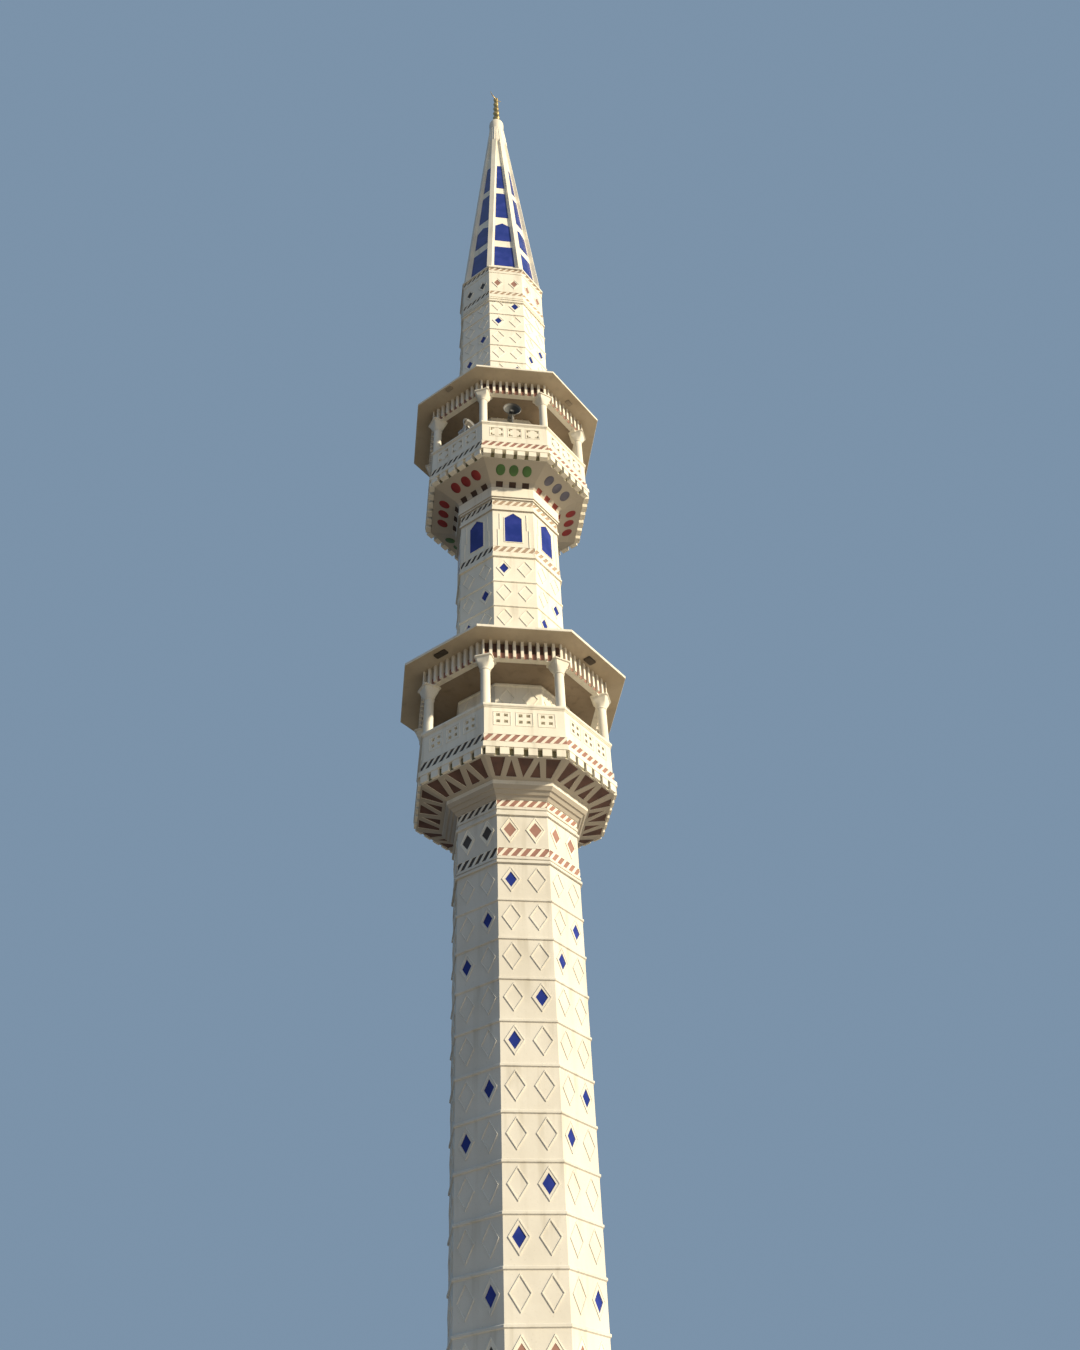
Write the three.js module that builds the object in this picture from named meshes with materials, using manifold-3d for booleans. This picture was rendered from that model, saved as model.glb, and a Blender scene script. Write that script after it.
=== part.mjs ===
// Octagonal precast minaret with two columned balconies and a ribbed spire, as a 1:2 scale model.
import * as THREE from 'three';
import { mergeVertices } from 'three/addons/utils/BufferGeometryUtils.js';
import Module from 'manifold-3d';

const wasm = await Module();
wasm.setup();

// Every length is written as the real one in millimetres, and this factor makes the model.
const scale = 0.5;
const real = (length) => length * scale;

// The shaft is an eight-sided prism of stacked precast rings.
const sides = 8;
const sideAngle = (2 * Math.PI) / sides;
const faceWidth = real(1000);
const shaftRadius = faceWidth / (2 * Math.sin(sideAngle / 2));
const shaftApothem = shaftRadius * Math.cos(sideAngle / 2);
const wall = real(130);
const tier = real(780);
const gap = 0.3;

// Levels above the ground, from the foot to the tip of the finial.
const level = {
  plinthTop: real(240),
  baseTop: real(4560),
  baseCorniceTop: real(4880),
  lowerShaftTop: real(13460),
  lowerLedgeTop: real(13606),
  lowerUpperLedge: real(14531),
  lowerUpperLedgeTop: real(14727),
  lowerBandTop: real(14900),
  lowerCorniceTop: real(15114),
  lowerFloor: real(15690),
  middleTiersTop: real(21732),
  middleShaftTop: real(21750),
  windowLedgeTop: real(21870),
  windowTierTop: real(23370),
  flareLedgeTop: real(23440),
  flareLedge: real(23765),
  flareFoot: real(23880),
  upperFloor: real(24800),
  topTiersTop: real(32660),
  topShaftTop: real(32500),
  topLedgeTop: real(32700),
  spireLedge: real(34330),
  topBandTop: real(34390),
  spireHollowTop: real(43200),
  ribsMerge: real(44430),
  spireTop: real(45750),
  capTop: real(46570),
  finialTop: real(48600),
};

// Heights of one balcony above its own floor, and its radii at the corners.
const balcony = {
  corbelTop: real(-280),
  floorThickness: real(110),
  parapetFoot: real(220),
  parapetTop: real(935),
  handrailTop: real(1010),
  capitalFoot: real(1960),
  abacusFoot: real(2212),
  abacusTop: real(2256),
  friezeCourseTop: real(2410),
  slabFoot: real(2695),
  slabTop: real(2765),
  roofRise: real(110),
  floorRadius: real(2225),
  hatchRadius: real(2190),
  parapetRadius: real(2150),
  parapetWall: real(90),
  handrailRadius: real(2195),
  handrailWidth: real(165),
  columnRing: real(2035),
  columnRadius: real(104),
  abacusHalf: real(198),
  lintelRadius: real(2195),
  lintelWidth: real(198),
  courseDepth: real(67),
  friezeDepth: real(128),
  ceilingThickness: real(80),
  slabRadius: real(2640),
};

// The lower corbel reaches out further under its balcony than the upper one.
const corbelRim = { lower: real(2152), upper: real(2062) };
// Under the floor slab the body steps back to this radius, and the teeth hang in front of it.
const slotRadius = real(1950);
const toothDepth = { lower: real(60), upper: real(134) };
const joint = { height: real(70), depth: real(28) };
const ledge = { height: real(50), depth: real(45) };
const windowDiamond = { halfWidth: real(112), halfHeight: real(168) };
const diamondOffset = faceWidth / 4;
const diamondRise = real(45);

const colour = {
  plaster: new THREE.MeshStandardMaterial({ color: 0xf0e6cd, roughness: 0.85, metalness: 0 }),
  soffit: new THREE.MeshStandardMaterial({ color: 0xd9cdb4, roughness: 0.9, metalness: 0 }),
  glass: new THREE.MeshStandardMaterial({ color: 0x2b3590, roughness: 0.15, metalness: 0 }),
  horn: new THREE.MeshStandardMaterial({ color: 0xb9bcbc, roughness: 0.5, metalness: 0.5 }),
  gilt: new THREE.MeshStandardMaterial({ color: 0xcaa24a, roughness: 0.35, metalness: 0.9 }),
};

const minaret = new THREE.Group();

// A closed three.js geometry as a solid that can be joined and cut.
function solidOf(geometry) {
  const bare = geometry.clone();
  bare.deleteAttribute('normal');
  bare.deleteAttribute('uv');
  const welded = mergeVertices(bare, 1e-3);
  return new wasm.Manifold(new wasm.Mesh({
    numProp: 3,
    vertProperties: new Float32Array(welded.attributes.position.array),
    triVerts: new Uint32Array(welded.index.array),
  }));
}

function addPart(name, solid, material) {
  const cut = solid.getMesh();
  const geometry = new THREE.BufferGeometry();
  geometry.setAttribute('position', new THREE.BufferAttribute(cut.vertProperties, 3));
  geometry.setIndex(new THREE.BufferAttribute(cut.triVerts, 1));
  geometry.computeVertexNormals();
  const mesh = new THREE.Mesh(geometry, material.clone());
  mesh.name = name;
  minaret.add(mesh);
}

function joinAll(solids) {
  return solids.reduce((whole, piece) => whole.add(piece));
}

// An eight-sided ring or lathe about the tower's axis, from [corner radius, height] points
// listed anticlockwise and closed on themselves.
function octagon(points) {
  const closed = [...points, points[0]].map(([r, z]) => new THREE.Vector2(r, z));
  const lathe = new THREE.LatheGeometry(closed, sides, sideAngle / 2);
  lathe.rotateX(Math.PI / 2);
  return solidOf(lathe);
}

// A straight octagonal tube between two levels.
function tube(outer, inner, low, high) {
  return octagon([[inner, low], [outer, low], [outer, high], [inner, high]]);
}

// A flat outline [across, up] made into a prism that runs inwards from a distance in front of
// the axis, on the face with the given number. Face 0 looks along -Y and face 1 is on its right.
function facePrism(outline, distance, depth, face) {
  const shape = new THREE.Shape(outline.map(([across, up]) => new THREE.Vector2(across, up)));
  const prism = new THREE.ExtrudeGeometry(shape, { depth, bevelEnabled: false });
  prism.rotateX(Math.PI / 2);
  prism.translate(0, depth - distance, 0);
  prism.rotateZ(face * sideAngle);
  return solidOf(prism);
}

function box(width, depth, height, x, y, z) {
  const block = new THREE.BoxGeometry(width, depth, height);
  block.translate(x, y, z + height / 2);
  return block;
}

function rectangle(middle, half, low, high) {
  return [[middle - half, low], [middle + half, low], [middle + half, high], [middle - half, high]];
}

function diamond(across, up, size) {
  return [
    [across - size.halfWidth, up],
    [across, up - size.halfHeight],
    [across + size.halfWidth, up],
    [across, up + size.halfHeight],
  ];
}

const apothem = (radius) => radius * Math.cos(sideAngle / 2);
const cornerRadius = (flat) => flat / Math.cos(sideAngle / 2);
const innerRadius = cornerRadius(shaftApothem - wall);
const glassThickness = real(12);

// The outer profile of a shaft length: plain tiers with a small band at each joint.
function shaftProfile(low, high, joints) {
  const outer = [[shaftRadius, low]];
  for (const at of joints) {
    outer.push([shaftRadius, at - joint.height / 2]);
    outer.push([shaftRadius + joint.depth, at - joint.height / 4]);
    outer.push([shaftRadius + joint.depth, at + joint.height / 4]);
    outer.push([shaftRadius, at + joint.height / 2]);
  }
  outer.push([shaftRadius, high]);
  return [[innerRadius, low], ...outer, [innerRadius, high]];
}

// Four diamond windows a tier wind round the shaft: the place moves one step left a tier down.
function hasWindow(tierNumber, face, right, start) {
  const place = -2 * face - (right ? 1 : 0);
  return (((tierNumber - place - start) % 4) + 4) % 4 === 0;
}

function shaftWindows(tiers, start) {
  const cutters = [];
  for (const { number, centre, skipBack } of tiers) {
    for (let face = 0; face < sides; face += 1) {
      for (const right of [false, true]) {
        const blocked = skipBack && face === sides / 2;
        if (!blocked && hasWindow(number, face, right, start)) {
          const across = right ? diamondOffset : -diamondOffset;
          const outline = diamond(across, centre, windowDiamond);
          cutters.push(facePrism(outline, shaftApothem + wall, 3 * wall, face));
        }
      }
    }
  }
  return cutters;
}

function cutAll(solid, cutters) {
  return cutters.length ? solid.subtract(joinAll(cutters)) : solid;
}

// A doorway through the back face, from its sill to its lintel.
const doorway = { width: real(620), height: real(1830) };

function doorwayCutter(sill, head, distance, depth) {
  return facePrism(rectangle(0, doorway.width / 2, sill, head), distance, depth, sides / 2);
}

// Foot: a solid footing course with the floor on it, and a wider hollow base with the door.
const baseRadius = shaftRadius * 1.16;
const baseWall = real(220);
const plinthRadius = shaftRadius * 1.24;

function footPlinth() {
  const height = level.plinthTop;
  const disc = new THREE.CylinderGeometry(plinthRadius, plinthRadius, height, sides, 1, false, sideAngle / 2);
  disc.rotateX(Math.PI / 2);
  disc.translate(0, 0, height / 2);
  return solidOf(disc);
}

function baseBody() {
  const low = level.plinthTop + gap;
  const inner = cornerRadius(apothem(baseRadius) - baseWall);
  const body = tube(baseRadius, inner, low, level.baseTop);
  const head = low + doorway.height;
  return body.subtract(doorwayCutter(low, head, apothem(baseRadius) + baseWall, 3 * baseWall));
}

// The base's cornice steps back from the wide base to the shaft.
function baseCornice() {
  const low = level.baseTop + gap;
  const high = level.baseCorniceTop;
  const step = (high - low) / 3;
  return octagon([
    [innerRadius, low],
    [baseRadius + ledge.depth, low],
    [baseRadius + ledge.depth, low + ledge.height],
    [baseRadius, low + ledge.height],
    [shaftRadius * 1.08, low + step * 2],
    [shaftRadius + ledge.depth, low + step * 2],
    [shaftRadius + ledge.depth, low + step * 2 + ledge.height],
    [shaftRadius, low + step * 2 + ledge.height],
    [shaftRadius, high],
    [innerRadius, high],
  ]);
}

addPart('foot_plinth', footPlinth(), colour.plaster);
addPart('base_wall', baseBody(), colour.plaster);
addPart('base_cornice', baseCornice(), colour.plaster);

// Lower shaft: eleven tiers. Tier 11, at the foot, has no window.
const lowerTiers = 11;

function lowerShaft() {
  const low = level.baseCorniceTop + gap;
  const joints = [];
  const tiers = [];
  for (let number = 1; number < lowerTiers; number += 1) {
    const foot = level.lowerShaftTop - number * tier;
    joints.unshift(foot);
    tiers.push({ number, centre: foot + tier / 2 + diamondRise });
  }
  const body = octagon(shaftProfile(low, level.lowerShaftTop, joints));
  return cutAll(body, shaftWindows(tiers, 1));
}

function glassTube(low, high) {
  const outer = innerRadius - gap;
  return tube(outer, cornerRadius(apothem(outer) - glassThickness), low, high);
}

addPart('lower_shaft', lowerShaft(), colour.plaster);
addPart('lower_glass', glassTube(level.baseCorniceTop + tier + gap, level.lowerShaftTop - gap), colour.glass);

// Projecting ledges, the lowest one the widest, that fill the height between two levels.
function ledgeSteps(low, high, count = 2) {
  const points = [];
  const height = count > 1 ? ledge.height : high - low;
  const pitch = count > 1 ? (high - low - height) / (count - 1) : 0;
  for (let step = 0; step < count; step += 1) {
    const foot = low + step * pitch;
    const out = shaftRadius + ledge.depth * (count - step) / count;
    points.push([shaftRadius, foot], [out, foot], [out, foot + height], [shaftRadius, foot + height]);
  }
  return points;
}

// A band of ledges with two striped courses and a tier of red diamonds between them.
function lowerBand() {
  const low = level.lowerShaftTop + gap;
  return octagon([
    [innerRadius, low],
    ...ledgeSteps(low, level.lowerLedgeTop),
    ...ledgeSteps(level.lowerUpperLedge, level.lowerUpperLedgeTop),
    [shaftRadius, level.lowerBandTop],
    [innerRadius, level.lowerBandTop],
  ]);
}

addPart('lower_band', lowerBand(), colour.plaster);

// Under the lower balcony: three sloping cornice courses, a plain fascia, then a flaring soffit
// with pockets between its struts.
const corbelFoot = shaftRadius * 1.2;
const corbelFascia = real(91);
const corbelEdge = real(12);
const lowerCorbelTop = level.lowerFloor + balcony.corbelTop;
const upperCorbelTop = level.upperFloor + balcony.corbelTop;

// Corners of the pockets as [across, up the slope]. Those beside the middle one are mirrored.
const pocketDepth = real(20);
const middlePocket = [[real(-166), real(543)], [0, real(80)], [real(166), real(543)]];
const sidePockets = [
  [[real(405), real(543)], [real(457), real(80)], [real(557), real(80)], [real(709), real(543)]],
  [[real(131), real(80)], [real(347), real(80)], [real(278), real(493)]],
];

function lowerCorbel() {
  const low = level.lowerBandTop + gap;
  const steps = 3;
  const cornicePlain = 0.3;
  const rise = (level.lowerCorniceTop - low) / steps;
  const run = (corbelFoot - shaftRadius) / steps;
  const points = [[innerRadius, low]];
  for (let step = 0; step < steps; step += 1) {
    points.push([shaftRadius + run * (step + cornicePlain), low + rise * step]);
    points.push([shaftRadius + run * (step + 1), low + rise * (step + 1)]);
  }
  points.push([corbelFoot, level.lowerCorniceTop + corbelFascia]);
  points.push([corbelRim.lower, lowerCorbelTop - corbelEdge], [corbelRim.lower, lowerCorbelTop]);
  points.push([innerRadius, lowerCorbelTop]);
  return cutAll(octagon(points), corbelPockets());
}

// The pockets of one face lie in its sloping plane, between a zigzag of struts.
function corbelPockets() {
  const foot = level.lowerCorniceTop + corbelFascia;
  const run = apothem(corbelRim.lower) - apothem(corbelFoot);
  const tilt = Math.atan2(run, lowerCorbelTop - corbelEdge - foot);
  const mirrored = sidePockets.map((corners) => corners.map(([across, up]) => [-across, up]));
  const pockets = [];
  for (let face = 0; face < sides; face += 1) {
    for (const corners of [middlePocket, ...sidePockets, ...mirrored]) {
      const shape = new THREE.Shape(corners.map(([across, up]) => new THREE.Vector2(across, up)));
      const prism = new THREE.ExtrudeGeometry(shape, { depth: 2 * pocketDepth, bevelEnabled: false });
      prism.translate(0, 0, -pocketDepth);
      prism.rotateX(Math.PI / 2 + tilt);
      prism.translate(0, -apothem(corbelFoot), foot);
      prism.rotateZ(face * sideAngle);
      pockets.push(solidOf(prism));
    }
  }
  return pockets;
}

addPart('lower_corbel', lowerCorbel(), colour.plaster);

// One balcony: floor with a row of teeth under its edge, parapet, handrail, columns, lintel and
// canopy slab. Everything keeps its place above the balcony's floor.
const teeth = 6;
const toothShare = 0.66;
const shaftClear = shaftRadius + joint.depth + gap;

function balconyFloor(floor, toothThickness) {
  const low = floor + balcony.corbelTop + gap;
  const slabLow = floor - balcony.floorThickness;
  const rim = balcony.floorRadius;
  const body = octagon([
    [shaftClear, low],
    [slotRadius, low],
    [slotRadius, slabLow],
    [rim, slabLow],
    [rim, floor],
    [shaftClear, floor],
  ]);
  const overlap = real(5);
  const flat = apothem(rim) - real(12);
  const pitch = (2 * flat * Math.tan(sideAngle / 2)) / teeth;
  const half = (pitch * toothShare) / 2;
  const blocks = [];
  for (let face = 0; face < sides; face += 1) {
    for (let number = 0; number < teeth; number += 1) {
      const middle = (number - (teeth - 1) / 2) * pitch;
      const outline = rectangle(middle, half, low, slabLow + overlap);
      blocks.push(facePrism(outline, flat, toothThickness, face));
    }
  }
  return body.add(joinAll(blocks));
}

// The parapet stands on a striped course that leans in a little, and has a moulded handrail.
function parapet(floor) {
  const low = floor + gap;
  const foot = floor + balcony.parapetFoot;
  const railFoot = floor + balcony.parapetTop;
  const railTop = floor + balcony.handrailTop;
  const nosing = real(18);
  const wallOuter = balcony.parapetRadius;
  const wallInner = cornerRadius(apothem(wallOuter) - balcony.parapetWall);
  const railOuter = balcony.handrailRadius;
  const railInner = cornerRadius(apothem(railOuter) - balcony.handrailWidth);
  return octagon([
    [wallInner, low],
    [balcony.hatchRadius, low],
    [wallOuter + nosing, foot],
    [wallOuter, foot],
    [wallOuter, railFoot - nosing],
    [railOuter - nosing, railFoot],
    [railOuter, railFoot + nosing],
    [railOuter, railTop - nosing],
    [railOuter - nosing, railTop],
    [railInner, railTop],
    [railInner, railFoot],
    [wallInner, railFoot - nosing],
  ]);
}

// A round column with a neck ring, a capital that flares from round to square, and a thin abacus.
function column(floor, number) {
  const r = balcony.columnRadius;
  const round = 10;
  const ringRadius = r + real(15);
  const capitalFootRadius = r + real(21);
  const capitalTopRadius = (balcony.abacusHalf - real(23)) * Math.SQRT2;
  const foot = floor + balcony.handrailTop + gap;
  const neck = floor + balcony.capitalFoot;
  const overlap = real(20);
  const shaft = new THREE.CylinderGeometry(r, r, neck - foot + overlap, round);
  shaft.rotateX(Math.PI / 2);
  shaft.translate(0, 0, (neck + foot + overlap) / 2);
  const ring = new THREE.CylinderGeometry(ringRadius, ringRadius, real(36), round);
  ring.rotateX(Math.PI / 2);
  ring.translate(0, 0, neck);
  const flare = balcony.abacusFoot - balcony.capitalFoot;
  const radii = [capitalTopRadius, capitalFootRadius];
  const capital = new THREE.CylinderGeometry(...radii, flare, 4, 1, false, Math.PI / 4);
  capital.rotateX(Math.PI / 2);
  capital.translate(0, 0, neck + flare / 2);
  const width = 2 * balcony.abacusHalf;
  const height = balcony.abacusTop - balcony.abacusFoot;
  const abacus = box(width, width, height, 0, 0, floor + balcony.abacusFoot);
  const pieces = [shaft, ring, capital, abacus].map((geometry) => {
    geometry.translate(0, -balcony.columnRing, 0);
    geometry.rotateZ((number - 0.5) * sideAngle);
    return solidOf(geometry);
  });
  return joinAll(pieces);
}

// The lintel rests on the capitals and holds a thin flat ceiling. Its outside is a frieze of
// upright fins that run down to its foot, one on each corner and nine between, in front of a
// shallow course and a deeper recess above it.
const fins = 10;
const finWidth = real(62);

function lintel(floor) {
  const low = floor + balcony.abacusTop + gap;
  const high = floor + balcony.slabFoot - gap;
  const outer = balcony.lintelRadius;
  const inner = cornerRadius(apothem(outer) - balcony.lintelWidth);
  const ceilingTop = low + balcony.ceilingThickness;
  const body = octagon([
    [shaftClear, low],
    [outer, low],
    [outer, high],
    [inner, high],
    [inner, ceilingTop],
    [shaftClear, ceilingTop],
  ]);
  return cutAll(body, friezeGrooves(floor, low, high));
}

function friezeGrooves(floor, low, high) {
  const flat = apothem(balcony.lintelRadius);
  const pitch = (2 * flat * Math.tan(sideAngle / 2)) / fins;
  const margin = real(20);
  const front = -flat - margin;
  const course = -flat + balcony.courseDepth;
  const back = -flat + balcony.friezeDepth;
  const foot = low - margin;
  const courseTop = floor + balcony.friezeCourseTop;
  const top = high + margin;
  const section = [
    [front, foot],
    [course, foot],
    [course, courseTop],
    [back, courseTop],
    [back, top],
    [front, top],
  ];
  const shape = new THREE.Shape(section.map(([out, up]) => new THREE.Vector2(out, up)));
  const grooves = [];
  for (let face = 0; face < sides; face += 1) {
    for (let number = 0; number < fins; number += 1) {
      const groove = new THREE.ExtrudeGeometry(shape, { depth: pitch - finWidth, bevelEnabled: false });
      groove.rotateX(Math.PI / 2);
      groove.rotateZ(Math.PI / 2);
      groove.translate((number - fins / 2) * pitch + finWidth / 2, 0, 0);
      groove.rotateZ(face * sideAngle);
      grooves.push(solidOf(groove));
    }
  }
  return grooves;
}

function canopy(floor) {
  const low = floor + balcony.slabFoot;
  const high = floor + balcony.slabTop;
  return octagon([
    [shaftClear, low],
    [balcony.slabRadius, low],
    [balcony.slabRadius, high],
    [shaftClear, high + balcony.roofRise],
  ]);
}

function addBalcony(name, floor) {
  addPart(`${name}_floor`, balconyFloor(floor, toothDepth[name]), colour.plaster);
  addPart(`${name}_parapet`, parapet(floor), colour.plaster);
  for (let number = 1; number <= sides; number += 1) {
    addPart(`${name}_column_${number}`, column(floor, number), colour.plaster);
  }
  addPart(`${name}_lintel`, lintel(floor), colour.soffit);
  addPart(`${name}_canopy`, canopy(floor), colour.plaster);
}

addBalcony('lower', level.lowerFloor);

// A length of shaft over a balcony. Its tiers are numbered down from the top of their storey, and
// those beside or just over the balcony's doorway have no window in the back face.
function upperShaft(low, high, topTierTop, start, doorSill, doorHead = doorSill + doorway.height) {
  const joints = [];
  const tiers = [];
  for (let number = 1; topTierTop - number * tier > low - joint.height * 1.5; number += 1) {
    const foot = topTierTop - number * tier;
    const centre = foot + tier / 2 + diamondRise;
    if (foot > low + joint.height && foot < high - joint.height / 2) joints.unshift(foot);
    const skipBack = centre < doorHead + tier / 2;
    if (centre < high) tiers.push({ number, centre, skipBack });
  }
  const cutters = shaftWindows(tiers, start);
  if (doorSill > low) cutters.push(doorwayCutter(doorSill, doorHead, shaftApothem + wall, 3 * wall));
  return cutAll(octagon(shaftProfile(low, high, joints)), cutters);
}

// The rings behind the lower balcony hold its doorway. The middle shaft stands on them, and its
// lowest ring is the doorway's lintel.
const doorStep = real(60);
const doorShaftTop = level.middleTiersTop - 5 * tier + joint.height;
const middleFoot = lowerCorbelTop + gap;
const lowerSill = level.lowerFloor + doorStep;
const plainFoot = doorShaftTop + gap;
const doorShaft = upperShaft(middleFoot, doorShaftTop, level.middleTiersTop, 1, lowerSill, plainFoot);
const middleShaft = upperShaft(plainFoot, level.middleShaftTop, level.middleTiersTop, 1, lowerSill);
addPart('lower_door_shaft', doorShaft, colour.plaster);
addPart('middle_shaft', middleShaft, colour.plaster);
addPart('middle_glass', glassTube(plainFoot, level.windowTierTop - gap), colour.glass);

// The window tier: a striped course, then a tall ring with one pointed window a face.
const archWindow = { halfWidth: real(203), low: real(22290), shoulder: real(23080), peak: real(23240) };

function windowTier() {
  const low = level.middleShaftTop + gap;
  const body = octagon([
    [innerRadius, low],
    ...ledgeSteps(low, level.windowLedgeTop),
    [shaftRadius, level.windowTierTop],
    [innerRadius, level.windowTierTop],
  ]);
  const { halfWidth, low: sill, shoulder, peak } = archWindow;
  const foot = [[-halfWidth, sill], [halfWidth, sill]];
  const head = [[halfWidth, shoulder], [0, peak], [-halfWidth, shoulder]];
  const cutters = [];
  for (let face = 0; face < sides; face += 1) {
    cutters.push(facePrism([...foot, ...head], shaftApothem + wall, 3 * wall, face));
  }
  return cutAll(body, cutters);
}

addPart('window_tier', windowTier(), colour.plaster);

// Under the upper balcony: a striped course between ledges, then a smooth hollow flare with
// three small niches a face. The curve gives the flare's radius against the shaft's at each
// share of its rise.
const flareLip = shaftRadius * 1.06;
const flareCurve = [[1.045, 0], [1.05, 0.43], [1.08, 0.55], [1.14, 0.64], [1.25, 0.73], [1.42, 0.88]];

function upperCorbel() {
  const low = level.windowTierTop + gap;
  const foot = level.flareFoot;
  const rise = upperCorbelTop - foot;
  const flare = flareCurve.map(([r, up]) => [shaftRadius * r, foot + rise * up]);
  const body = octagon([
    [innerRadius, low],
    ...ledgeSteps(low, level.flareLedgeTop, 1),
    [shaftRadius, level.flareLedge],
    [shaftRadius + ledge.depth, level.flareLedge],
    [shaftRadius + ledge.depth, level.flareLedge + ledge.height],
    [flareLip, level.flareLedge + ledge.height],
    [flareLip, foot],
    ...flare,
    [corbelRim.upper, upperCorbelTop - corbelEdge],
    [corbelRim.upper, upperCorbelTop],
    [innerRadius, upperCorbelTop],
  ]);
  const niche = { half: real(88), low: real(24165), high: real(24285), pitch: real(330) };
  const nicheBack = shaftApothem + real(12);
  const cutters = [];
  for (let face = 0; face < sides; face += 1) {
    for (const number of [-1, 0, 1]) {
      const outline = rectangle(number * niche.pitch, niche.half, niche.low, niche.high);
      cutters.push(facePrism(outline, shaftApothem * 1.3, shaftApothem * 1.3 - nicheBack, face));
    }
  }
  return cutAll(body, cutters);
}

addPart('upper_corbel', upperCorbel(), colour.plaster);
addBalcony('upper', level.upperFloor);

// Top shaft and the band below the spire.
const topFoot = upperCorbelTop + gap;
const upperSill = level.upperFloor + doorStep;
addPart('top_shaft', upperShaft(topFoot, level.topShaftTop, level.topTiersTop, 2, upperSill), colour.plaster);
addPart('top_glass', glassTube(level.upperFloor + real(2100), level.topShaftTop - gap), colour.glass);

function topBand() {
  const low = level.topShaftTop + gap;
  return octagon([
    [innerRadius, low],
    ...ledgeSteps(low, level.topLedgeTop),
    ...ledgeSteps(level.spireLedge, level.topBandTop, 1),
    [innerRadius, level.topBandTop],
  ]);
}

addPart('top_band', topBand(), colour.plaster);

// Spire: a hollow eight-sided pyramid with a rib on each corner and four blue panels a face.
const spireFoot = level.topBandTop + gap;
const ribWidth = real(155);
const spireBaseRadius = shaftRadius * 0.984;
const spireTopRadius = shaftRadius * 0.2;
const spireWall = real(120);
const ribRoot = real(40);
const panelMargin = real(70);
const spireShare = (z) => (z - spireFoot) / (level.spireTop - spireFoot);
const spireRadius = (z) => spireBaseRadius + (spireTopRadius - spireBaseRadius) * spireShare(z);
const ribDepth = (z) => real(100) - real(55) * spireShare(z);
const spireFaceRadius = (z) => spireRadius(z) - ribDepth(z);
const panelLevels = [
  [real(34750), real(35985)],
  [real(36440), real(37676)],
  [real(38130), real(39955)],
  [real(40414), real(42238)],
];

function spireBody() {
  const hollowTop = level.spireHollowTop;
  const mergedFrom = level.ribsMerge + real(160);
  const ribProud = real(20);
  const shell = octagon([
    [spireFaceRadius(spireFoot) - spireWall, spireFoot],
    [spireFaceRadius(spireFoot), spireFoot],
    [spireFaceRadius(level.ribsMerge), level.ribsMerge],
    [spireRadius(mergedFrom) + ribProud, mergedFrom],
    [spireRadius(level.spireTop) + ribProud, level.spireTop],
    [0, level.spireTop],
    [0, hollowTop],
    [spireFaceRadius(hollowTop) - spireWall, hollowTop],
  ]);
  const pieces = [shell];
  for (let corner = 0; corner < sides; corner += 1) pieces.push(spireRib(corner));
  return cutAll(joinAll(pieces), spirePanels());
}

// One rib, square in section, follows the slope of its corner.
function spireRib(corner) {
  const half = ribWidth / 2;
  const sectionAt = (z) => {
    const out = spireRadius(z);
    const back = out - ribDepth(z) - ribRoot;
    return [[-half, -out, z], [half, -out, z], [half, -back, z], [-half, -back, z]];
  };
  const corners = [...sectionAt(spireFoot), ...sectionAt(level.spireTop)];
  const geometry = new THREE.BufferGeometry();
  geometry.setAttribute('position', new THREE.Float32BufferAttribute(corners.flat(), 3));
  const ends = [0, 2, 1, 0, 3, 2, 4, 5, 6, 4, 6, 7];
  const walls = [0, 1, 5, 0, 5, 4, 1, 2, 6, 1, 6, 5, 2, 3, 7, 2, 7, 6, 3, 0, 4, 3, 4, 7];
  geometry.setIndex([...ends, ...walls]);
  geometry.rotateZ((corner + 0.5) * sideAngle);
  return solidOf(geometry);
}

function panelHalfWidth(z) {
  return spireFaceRadius(z) * Math.sin(sideAngle / 2) - ribWidth / 2 - panelMargin;
}

function spirePanels() {
  const cutters = [];
  panelLevels.forEach(([low, high], number) => {
    const pointed = number === 1;
    const shoulder = pointed ? high - real(210) : high;
    const outline = [
      [-panelHalfWidth(low), low],
      [panelHalfWidth(low), low],
      [panelHalfWidth(shoulder), shoulder],
    ];
    if (pointed) outline.push([0, high]);
    outline.push([-panelHalfWidth(shoulder), shoulder]);
    for (let face = 0; face < sides; face += 1) {
      cutters.push(facePrism(outline, shaftRadius * 1.2, shaftRadius * 1.15, face));
    }
  });
  return cutters;
}

function spireGlass() {
  const low = spireFoot + real(60);
  const high = panelLevels[3][1] + real(60);
  const outerAt = (z) => spireFaceRadius(z) - spireWall - real(6);
  return octagon([
    [outerAt(low) - glassThickness, low],
    [outerAt(low), low],
    [outerAt(high), high],
    [outerAt(high) - glassThickness, high],
  ]);
}

addPart('spire', spireBody(), colour.plaster);
addPart('spire_glass', spireGlass(), colour.glass);

// Cap: a collar that widens a little, then a rounded dome.
function roundPart(points, segments) {
  const lathe = new THREE.LatheGeometry(points.map(([r, z]) => new THREE.Vector2(r, z)), segments);
  lathe.rotateX(Math.PI / 2);
  return solidOf(lathe);
}

const cap = { collarRadius: real(262), radius: real(272), shoulder: real(46290), domeSteps: 5 };

function spireCap() {
  const foot = level.spireTop + gap;
  const { radius, shoulder, domeSteps } = cap;
  const points = [[0, foot], [cap.collarRadius, foot], [radius, shoulder - real(60)]];
  for (let step = 0; step < domeSteps; step += 1) {
    const angle = (step / domeSteps) * (Math.PI / 2);
    points.push([radius * Math.cos(angle), shoulder + (level.capTop - shoulder) * Math.sin(angle)]);
  }
  points.push([0, level.capTop]);
  return roundPart(points, 16);
}

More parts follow.
